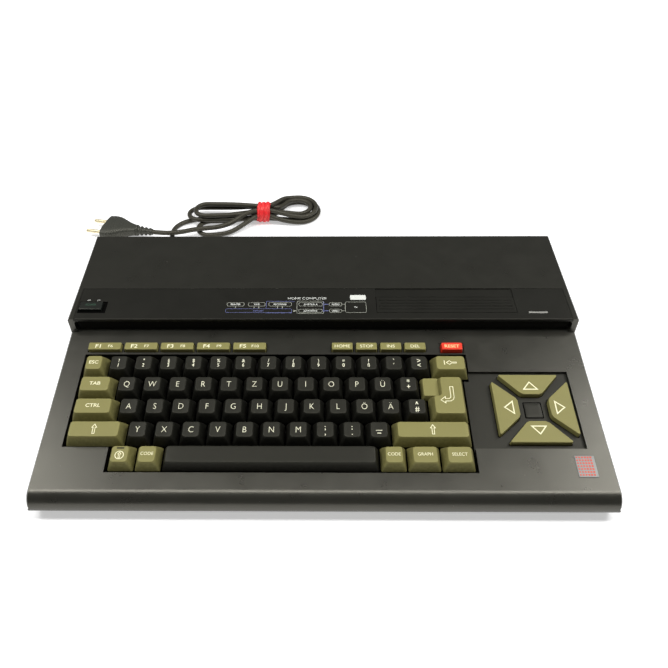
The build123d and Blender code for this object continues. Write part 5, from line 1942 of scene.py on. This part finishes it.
@dataclass
class MainsCord:
    """The cord from its sleeve to the plug, tied in a hank.

    Strands lie in the band as one in the middle of a ring of seven. Loops to the right are arcs
    about one point, each turn smaller or higher by a gap, and loops to the left are narrow turns.
    """

    shop: Workshop
    case: Case
    diameter: float = 5.0
    length: float = 1.41
    exit: Point = (-152.005, 152.495, 20.0)
    lead: tuple[Point, ...] = (
        (-152.005, 170.0, 20.0),
        (-156.0, 194.0, 3.0),
        (-161.0, 226.0, 2.8),
        (-152.0, 241.0, 2.8),
        (-134.0, 248.0, 2.8),
        (-112.0, 253.0, 2.8),
        (-92.0, 256.0, 4.2),
    )
    tail: tuple[Point, ...] = (
        (-82.0, 240.0, 15.0),
        (-95.0, 230.0, 10.0),
        (-109.0, 224.0, 8.2),
        (-123.0, 222.0, 8.1),
        (-135.5, 219.5, 8.4),
        (-149.5, 213.5, 8.8),
        (-164.783, 210.713, 9.473),
        (-178.416, 213.860, 8.985),
    )
    strand_count: int = 7
    strand_start: float = -77.0
    strand_reach: float = 6.5
    strand_ring: float = 6.8
    rights: tuple[RightTurn, ...] = (
        RightTurn(1, 5, 0.0, 2.8, 5.2),
        RightTurn(0, 6, 5.4, 2.8, 1.5),
        RightTurn(2, 7, 9.315, 8.0, 3.5),
        RightTurn(3, 4, 2.7, 7.6, 9.5),
    )
    lobe: Pair = (-26.0, 263.3)
    lobe_radius: float = 23.8
    lobe_angles: tuple[float, float, int] = (138.0, -90.0, 9)
    lobe_start: Pair = (-50.5, 262.0)
    lobe_start_step: Pair = (0.55, -0.62)
    lobe_end: Pair = (-43.5, 1.0)
    lobe_lifts: tuple[float, ...] = (0.85, 0.3, 0.12, 0.6)
    lefts: tuple[LeftTurn, ...] = (
        LeftTurn(-133.0, (216.8, 243.5), (2.8, 2.8)),
        LeftTurn(-145.0, (238.5, 264.5), (8.0, 6.5)),
        LeftTurn(-137.0, (238.5, 262.0), (13.2, 12.8)),
    )
    lane_x: float = -100.0
    lane_bend_x: float = -97.0
    lane_share: float = 0.35
    lane_bend: Pair = (0.12, 0.1)
    half_corner: float = math.radians(18)
    curve_order: int = 3
    curve_steps: int = 6
    round_steps: int = 5
    tie: Point = (-63.0, 249.0, 10.95)
    tie_width: float = 14.0
    tie_radius: float = 9.45
    tie_skin: float = 0.15
    tie_steps: Steps = (96, 22)
    tie_wraps: int = 3
    tie_ridge: Pair = (0.3, 1.25)
    tie_edge: float = 9.0
    tie_ripples: tuple[Point, ...] = ((0.12, 7, 9), (0.08, 17, -5))
    tie_wobbles: tuple[Point, ...] = ((0.35, 2, 1), (0.2, 5, 0))
    tie_lean: float = 0.12
    tie_crease: float = 1.5
    plug_origin: Point = (-231.0, 226.0, 7.1)
    plug_axis: Point = (0.97378, -0.22481, 0.0349)
    plug_length: float = 36.0
    plug_half: Pair = (17.5, 6.8)
    plug_steps: Steps = (48, 110)
    plug_power: float = 3.2
    plug_shoulder: float = 0.16
    plug_narrowing: Pair = (0.66, 0.3)
    plug_flare: Pair = (0.03, 0.045)
    plug_flare_end: float = 0.15
    plug_face: tuple[Point, ...] = (
        (0.0, 0.35, 0.35), (0.0, 0.9, 0.9), (0.15, 0.965, 0.94), (0.7, 1.0, 1.0)
    )
    plug_end: Pair = (0.4, 0.8)
    groove_count: int = 14
    groove_middle: float = 0.42
    groove_reach: float = 0.3
    groove_depth: Pair = (0.55, 0.3)
    groove_fade: float = 0.3
    pin_radius: float = 2.0
    pin_length: float = 19.0
    pin_offset: float = 9.5
    pin_root: float = 0.8
    pin_tip: Pairs = ((1.0, 2.2), (0.9, 1.2), (0.62, 0.35), (0.2, 0.0))
    pin_steps: int = 20
    sleeve_length: float = 18.0
    sleeve_radius: float = 3.1
    sleeve_flare: float = 1.4
    sleeve_lip: float = 0.3
    sleeve_overlap: float = 1.0
    sleeve_steps: Steps = (28, 64)
    rib_height: float = 1.7
    rib_count: int = 4
    rib_fade: float = 0.55
    rib_shift: float = 0.1
    relief_collar: Pairs = (
        (7.0, 0.0), (7.4, 0.4), (7.4, 1.5), (4.7, 1.9), (4.7, 3.5), (7.2, 3.6), (7.5, 4.0),
        (7.5, 5.5), (7.0, 6.0)
    )
    relief_start: float = 6.1
    relief_radii: Pair = (4.9, 3.1)
    relief_steps: Steps = (32, 56)
    slot_count: int = 7
    slot_depth: float = 0.75
    slot_power: float = 0.6
    slot_fade: int = 6

    def strand(self, place: int, side: Side) -> Array:
        """Where a strand meets a face of the band.

        Args:
            place: place round the ring from below at the back, or the count for the middle.
            side: the face.

        Returns:
            The point.
        """
        angle = math.radians(self.strand_start + 360 / self.strand_count * place)
        radius = 0.0 if place == self.strand_count else self.strand_ring
        away = self.strand_reach * side.value
        return self.tie + np.array([away, radius * math.cos(angle), radius * math.sin(angle)])

    def right_loop(self, loop: RightTurn) -> Array:
        """A turn of the right lobe, from the back round to the front.

        Points go round a circle whose radius is the lobe's less the gap. The height is z, plus a
        share of the lift near the band.

        Args:
            loop: the turn.

        Returns:
            Control points.
        """
        radius = self.lobe_radius - loop.gap
        angles = np.radians(np.linspace(*self.lobe_angles))
        turn = self.lobe + radius * np.stack([np.cos(angles), np.sin(angles)], axis=1)
        first = np.array(self.lobe_start) + np.array(self.lobe_start_step) * loop.gap
        last = (self.lobe_end[0], self.lobe[1] - radius + self.lobe_end[1])
        flat = np.concatenate([[first], turn, [last]])
        share = np.zeros(len(flat))
        share[[0, 1, -2, -1]] = self.lobe_lifts
        return np.column_stack([flat, loop.z + loop.lift * share])

    def left_loop(self, loop: LeftTurn, start: Array, end: Array) -> Array:
        """A narrow turn on the left, out along the front lane and home along the back lane.

        Its end is half of a regular ten-sided polygon round the circle between the lanes, so the
        smooth curve follows the circle.

        Args:
            loop: the turn.
            start: strand that it leaves from.
            end: strand that it comes back to.

        Returns:
            Control points.
        """
        front, back = loop.lanes
        radius, middle = (back - front) / 2, (front + back) / 2
        x = loop.tip + radius
        reach = radius / math.cos(self.half_corner)
        angles = np.pi + self.half_corner * np.array([4, 2, 0, -2, -4])
        step = x + reach * math.cos(angles[0]) + 2 * reach * math.sin(self.half_corner)
        turn = np.column_stack([
            x + reach * np.cos(angles),
            middle + reach * np.sin(angles),
            np.linspace(*loop.heights, len(angles)),
        ])
        runs = []
        for strand, lane, z in zip((start, end), loop.lanes, loop.heights):
            far = np.array([self.lane_x, lane, z])
            near = strand + (far - strand) * self.lane_share
            across, up = (strand[1:] - far[1:]) * self.lane_bend
            bend = np.array([self.lane_bend_x, lane + across, z + up])
            runs.append(np.array([near, bend, [step, lane, z]]))
        return np.concatenate([runs[0], turn, runs[1][::-1]])

    def route(self) -> Array:
        """Control points of the whole cord: lead, four turns right and three left, tail.

        Returns:
            Points of shape (n, 3), in millimetres.
        """
        parts = [np.array([self.exit]), np.array(self.lead)]
        for i, loop in enumerate(self.rights):
            parts.append([self.strand(loop.back, side) for side in (Side.LEFT, Side.RIGHT)])
            parts.append(self.right_loop(loop))
            parts.append([self.strand(loop.front, side) for side in (Side.RIGHT, Side.LEFT)])
            if i < len(self.lefts):
                start = self.strand(loop.front, Side.LEFT)
                end = self.strand(self.rights[i + 1].back, Side.LEFT)
                parts.append(self.left_loop(self.lefts[i], start, end))
        return np.concatenate(parts + [np.array(self.tail)])

    def line(self) -> Made:
        """The cord itself, a tube round one smooth curve.

        Returns:
            The object.
        """
        points = self.route() * MM
        curve = bpy.data.curves.new("mains_cord", "CURVE")
        curve.dimensions = "3D"
        spline = curve.splines.new("NURBS")
        spline.points.add(len(points) - 1)
        rows = np.column_stack([points, np.ones(len(points))])
        spline.points.foreach_set("co", rows.ravel())
        spline.order_u = self.curve_order
        spline.use_endpoint_u = True
        spline.resolution_u = self.curve_steps
        curve.bevel_depth = self.diameter / 2 * MM
        curve.bevel_resolution = self.round_steps
        curve.use_fill_caps = True
        made = bpy.data.objects.new("mains_cord", curve)
        self.shop.dress(made, "case", CORD.slot, CORD.material())
        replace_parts(made, "cord_lead", "cord_tail", "cord_hank")
        return made

    def band(self) -> Made:
        """Rubber band in three twisted wraps.

        Round the X axis, the outer radius follows one ridge a wrap across the width, and the
        ridges shift by one each time round. Ripples are sines of the turn and the place across,
        and the band leans a little with the height. Wear is 1 on the ridges and 0 in the creases.

        Returns:
            The object.
        """
        around, count = self.tie_steps
        turn = np.linspace(0, FULL_TURN, around, endpoint=False)
        across = np.linspace(0, 1, count)[:, None]
        ridge = np.abs(np.sin(np.pi * (self.tie_wraps * across + turn / FULL_TURN)))
        ripple = sum(
            size * np.sin(waves * turn + twist * across) for size, waves, twist in self.tie_ripples
        )
        edge = np.clip(np.minimum(across, 1 - across) * self.tie_edge, 0, 1) ** 0.5
        base, rise = self.tie_ridge
        outer = self.tie_radius + self.tie_skin + edge * (base + rise * ridge + ripple)
        inner = np.broadcast_to(self.tie_radius - self.tie_skin * edge, outer.shape)
        radius = np.concatenate([outer, inner[::-1]])
        place = np.concatenate([across, across[::-1]])
        wobble = sum(
            size * np.sin(waves * turn + start) for size, waves, start in self.tie_wobbles
        )
        lean = self.tie_lean * radius * np.sin(turn)
        x = (place - 0.5) * self.tie_width + wobble + lean
        rings = np.stack([x, radius * np.cos(turn), radius * np.sin(turn)], axis=-1)
        whole = hoop(rings).shifted(*self.tie)
        whole.wear = np.clip((radius - self.tie_radius) / self.tie_crease, 0, 1).ravel()
        made = self.shop.piece("cord_band", whole, TIE)
        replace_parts(made, "cord_tie")
        return made

    def along_plug(self, patch: Patch) -> Patch:
        """A surface of the plug's own frame turned into the world.

        Args:
            patch: a surface whose points are (along, across, up).

        Returns:
            The turned surface.
        """
        along = np.array(self.plug_axis) / np.linalg.norm(self.plug_axis)
        across = np.cross([0, 0, 1], along)
        across /= np.linalg.norm(across)
        turn = np.stack([along, across, np.cross(along, across)])
        return patch.at(np.array(self.plug_origin) + patch.points @ turn)

    def plug_body(self) -> Patch:
        """Body of the plug in its own frame, from its face to the sleeve.

        It is a pile of squared ovals |y/a|^n + |z/b|^n = 1. Their width and height fall along a
        smooth step from the shoulders to the sleeve, flare a little near the face, and dip in the
        grip's grooves, which fade away from their middle.

        Returns:
            The closed body.
        """
        around, count = self.plug_steps
        ring = circle(around)
        oval = np.sign(ring) * np.abs(ring) ** (2 / self.plug_power)
        share = np.linspace(0, 1, count)
        smooth = np.clip((share - self.plug_shoulder) / (1 - self.plug_shoulder), 0, 1)
        ease = (smooth**2 * (3 - 2 * smooth))[:, None] ** np.array([1, 2])
        flare = np.array(self.plug_flare)
        full = 1 - flare + flare * np.clip(share / self.plug_flare_end, 0, 1)[:, None]
        half = self.plug_half * (1 - np.array(self.plug_narrowing) * ease) * full
        fade = np.clip(1 - np.abs(share - self.groove_middle) / self.groove_reach, 0, 1)
        wave = np.clip(np.sin(FULL_TURN * self.groove_count * share), 0, 1)
        groove = wave * fade**self.groove_fade
        half -= groove[:, None] * self.groove_depth
        face = np.array(self.plug_face) * [1, *half[0]]
        middle = np.column_stack([share * self.plug_length, half])[1:-1]
        edge, step = self.plug_end
        end = [[self.plug_length - edge, *half[-1]], [self.plug_length, *(half[-1] - step)]]
        sizes = np.concatenate([face, middle, end])
        rings = np.empty((len(sizes), around, 3))
        rings[:, :, 0] = sizes[:, :1]
        rings[:, :, 1:] = oval * sizes[:, None, 1:]
        return stack(rings)

    def sleeve(self) -> Patch:
        """Ribbed sleeve behind the plug: a core with ribs that get lower towards the cord.

        A rib is the square root of the upper half of a sine. The turned part's (x, y, z) becomes
        (z, x, y) in the plug's frame.

        Returns:
            The sleeve in the plug's frame.
        """
        around, count = self.sleeve_steps
        along = np.linspace(0, 1, count)
        wave = np.sin(FULL_TURN * (self.rib_count * along - self.rib_shift))
        ribs = self.rib_height * (1 - self.rib_fade * along) * np.clip(wave, 0, 1) ** 0.5
        radius = self.sleeve_radius + self.sleeve_flare * (1 - along) ** 2 + ribs
        radius[[0, -1]] = self.sleeve_radius - self.sleeve_lip
        start = self.plug_length - self.sleeve_overlap
        place = start + along * (self.sleeve_length + self.sleeve_overlap)
        upright = lathe(np.column_stack([radius, place]), around)
        return upright.at(upright.points[:, [2, 0, 1]])

    def pins(self) -> Patch:
        """Two round pins in front of the plug's face, in its own frame.

        Returns:
            Both pins.
        """
        r, length = self.pin_radius, self.pin_length
        profile = [(r, -self.pin_root)]
        profile += [(share * r, length - back) for share, back in self.pin_tip]
        pin = lathe(np.array(profile), self.pin_steps)
        ahead = pin.at(-pin.points[:, [2, 1, 0]])
        return join([ahead.shifted(0, side * self.pin_offset, 0) for side in (-1, 1)])

    def plug(self) -> list[Made]:
        """Flat moulded plug with its ribbed sleeve and two round pins.

        Returns:
            The body and the pins.
        """
        body = self.along_plug(join([self.plug_body(), self.sleeve()]))
        made = self.shop.piece("plug_body", body, PLUG)
        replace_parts(made, "mains_plug")
        return [made, self.shop.piece("plug_pins", self.along_plug(self.pins()), PIN)]

    def relief(self) -> None:
        """Tapered sleeve where the cord leaves the case, with slots between its rings.

        Behind the collar the radius falls evenly, less the slots: a power of the upper half of a
        sine, which fades at the end.
        """
        low, high = self.case.box("strain_relief")
        around, count = self.relief_steps
        along = np.linspace(0, 1, count)
        first, last = self.relief_radii
        wave = np.clip(np.sin(FULL_TURN * self.slot_count * along), 0, 1)
        slots = self.slot_depth * wave**self.slot_power * (1 - along**self.slot_fade)
        length = high[1] - low[1] - self.relief_start
        taper = first + (last - first) * along - slots
        body = np.column_stack([taper, self.relief_start + along * length])
        profile = np.concatenate([np.array(self.relief_collar), body])
        whole = turned_back(profile, (self.exit[0], low[1], self.exit[2]), around)
        made = self.shop.piece("relief_sleeve", whole, CORD)
        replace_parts(made, "strain_relief")

    def build(self) -> None:
        cord = self.line()
        self.relief()
        pieces = self.plug() + [self.band()]


# Studio


@dataclass(frozen=True)
class Lamp:
    """A rectangular lamp that looks at a point, in metres and watts."""

    name: str
    place: Point
    aim: Point
    size: Pair
    power: float


@dataclass(frozen=True)
class Studio:
    """Pale floor, soft light from above and the camera, in metres and degrees.

    The glow ramp is (distance, distance, strength, strength): the floor's glow rises smoothly
    from the first strength at the first distance to the second one at the second distance.
    """

    camera_place: Point = (-0.002906, -0.36666, 0.408865)
    elevation: float = 43.296
    roll: float = -0.621
    yaw: float = -0.916
    lens: float = 35.505
    shift_x: float = 0.03467
    shift_y: float = -0.0015
    ambient: float = 0.15
    reach: float = 6.0
    pale: float = 0.86
    floor_roughness: float = 0.9
    glow_ramp: tuple[float, ...] = (0.5, 1.7, 0.45, 0.98)
    lamps: tuple[Lamp, ...] = (
        Lamp("left lamp", (-1.0, 0.2, 1.25), (0, 0.05, 0), (0.6, 0.6), 7),
        Lamp("right lamp", (1.0, 0.25, 1.25), (0, 0.05, 0), (0.6, 0.6), 9),
        Lamp("top lamp", (0, -0.12, 1.3), (0, -0.12, 0), (2.2, 0.2), 14),
    )

    def floor(self) -> None:
        """Pale floor, which is white to the camera where no shadow falls."""
        mesh = bpy.data.meshes.new("floor")
        corners = rectangle(self.reach, self.reach)[[2, 3, 0, 1]]
        mesh.from_pydata(np.pad(corners, ((0, 0), (0, 1))).tolist(), [], [(0, 1, 2, 3)])
        floor = bpy.data.objects.new("floor", mesh)
        bpy.context.scene.collection.objects.link(floor)
        made = bpy.data.materials.new("floor")
        made.use_nodes = True
        graph = Graph(made.node_tree)
        path = graph.node("ShaderNodeLightPath")
        seen = graph.math("ADD", path.outputs["Is Camera Ray"], path.outputs["Is Glossy Ray"])
        place = graph.node("ShaderNodeTexCoord").outputs["Object"]
        away = graph.node("ShaderNodeVectorMath", operation="LENGTH", Vector=place)
        near, far, low, high = self.glow_ramp
        glow = graph.node(
            "ShaderNodeMapRange", interpolation_type="SMOOTHSTEP", Value=away.outputs["Value"],
            From_Min=near, From_Max=far, To_Min=low, To_Max=high,
        )
        strength = graph.math("MULTIPLY", seen, glow.outputs[0])
        shader = graph.node(
            "ShaderNodeBsdfPrincipled", Base_Color=(self.pale, self.pale, self.pale, 1),
            Roughness=self.floor_roughness, Emission_Color=(1, 1, 1, 1),
            Emission_Strength=strength,
        )
        graph.node("ShaderNodeOutputMaterial", Surface=shader.outputs[0])
        mesh.materials.append(made)

    def world(self) -> None:
        """Dim even light from all round, white to the camera."""
        world = bpy.data.worlds.new("studio")
        bpy.context.scene.world = world
        world.use_nodes = True
        graph = Graph(world.node_tree)
        path = graph.node("ShaderNodeLightPath")
        strength = graph.node(
            "ShaderNodeMapRange", Value=path.outputs["Is Camera Ray"],
            To_Min=self.ambient, To_Max=1.0,
        )
        shade = graph.node(
            "ShaderNodeBackground", Color=(1, 1, 1, 1), Strength=strength.outputs[0]
        )
        graph.node("ShaderNodeOutputWorld", Surface=shade.outputs[0])

    def light(self, lamp: Lamp) -> None:
        """Makes a lamp.

        Args:
            lamp: its sizes and place.
        """
        light = bpy.data.lights.new(lamp.name, "AREA")
        light.shape = "RECTANGLE"
        light.size, light.size_y = lamp.size
        light.energy = lamp.power
        made = bpy.data.objects.new(lamp.name, light)
        bpy.context.scene.collection.objects.link(made)
        made.location = lamp.place
        made.rotation_mode = "QUATERNION"
        look = Vector(lamp.aim) - Vector(lamp.place)
        made.rotation_quaternion = look.to_track_quat("-Z", "Y")

    def camera(self) -> None:
        """Camera whose axis is turned by yaw, elevation and roll."""
        tilt, roll, yaw = (math.radians(a) for a in (self.elevation, self.roll, self.yaw))
        ahead = Vector((math.sin(yaw), math.cos(yaw), 0)) * math.cos(tilt)
        forward = ahead - Vector((0, 0, math.sin(tilt)))
        level = Vector((math.cos(yaw), -math.sin(yaw), 0))
        above = level.cross(forward)
        right = math.cos(roll) * level + math.sin(roll) * above
        upward = -math.sin(roll) * level + math.cos(roll) * above
        data = bpy.data.cameras.new("camera")
        data.lens = self.lens
        data.shift_x = self.shift_x
        data.shift_y = self.shift_y
        made = bpy.data.objects.new("camera", data)
        bpy.context.scene.collection.objects.link(made)
        turn = Matrix((right, upward, -forward)).transposed().to_4x4()
        made.matrix_world = Matrix.Translation(Vector(self.camera_place)) @ turn
        bpy.context.scene.camera = made

    def build(self) -> None:
        """Sets the stage."""
        bpy.context.scene.view_settings.view_transform = "Standard"
        self.floor()
        self.world()
        for lamp in self.lamps:
            self.light(lamp)
        self.camera()


def main() -> None:
    """Builds the scene in order."""
    logging.basicConfig(level=logging.INFO, format="%(message)s")
    for leftover in list(bpy.data.objects):
        bpy.data.objects.remove(leftover)
    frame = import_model()
    shop = Workshop(frame)
    case = Case()
    letters = Lettering()
    for part in (
        Studio(),
        MainsCord(shop, case),
        Housing(shop, case),
        ControlStrip(shop, case, letters),
        RearPorts(shop, case),
        Keyboard(shop, case, letters),
    ):
        part.build()


if __name__ == "__main__":
    main()
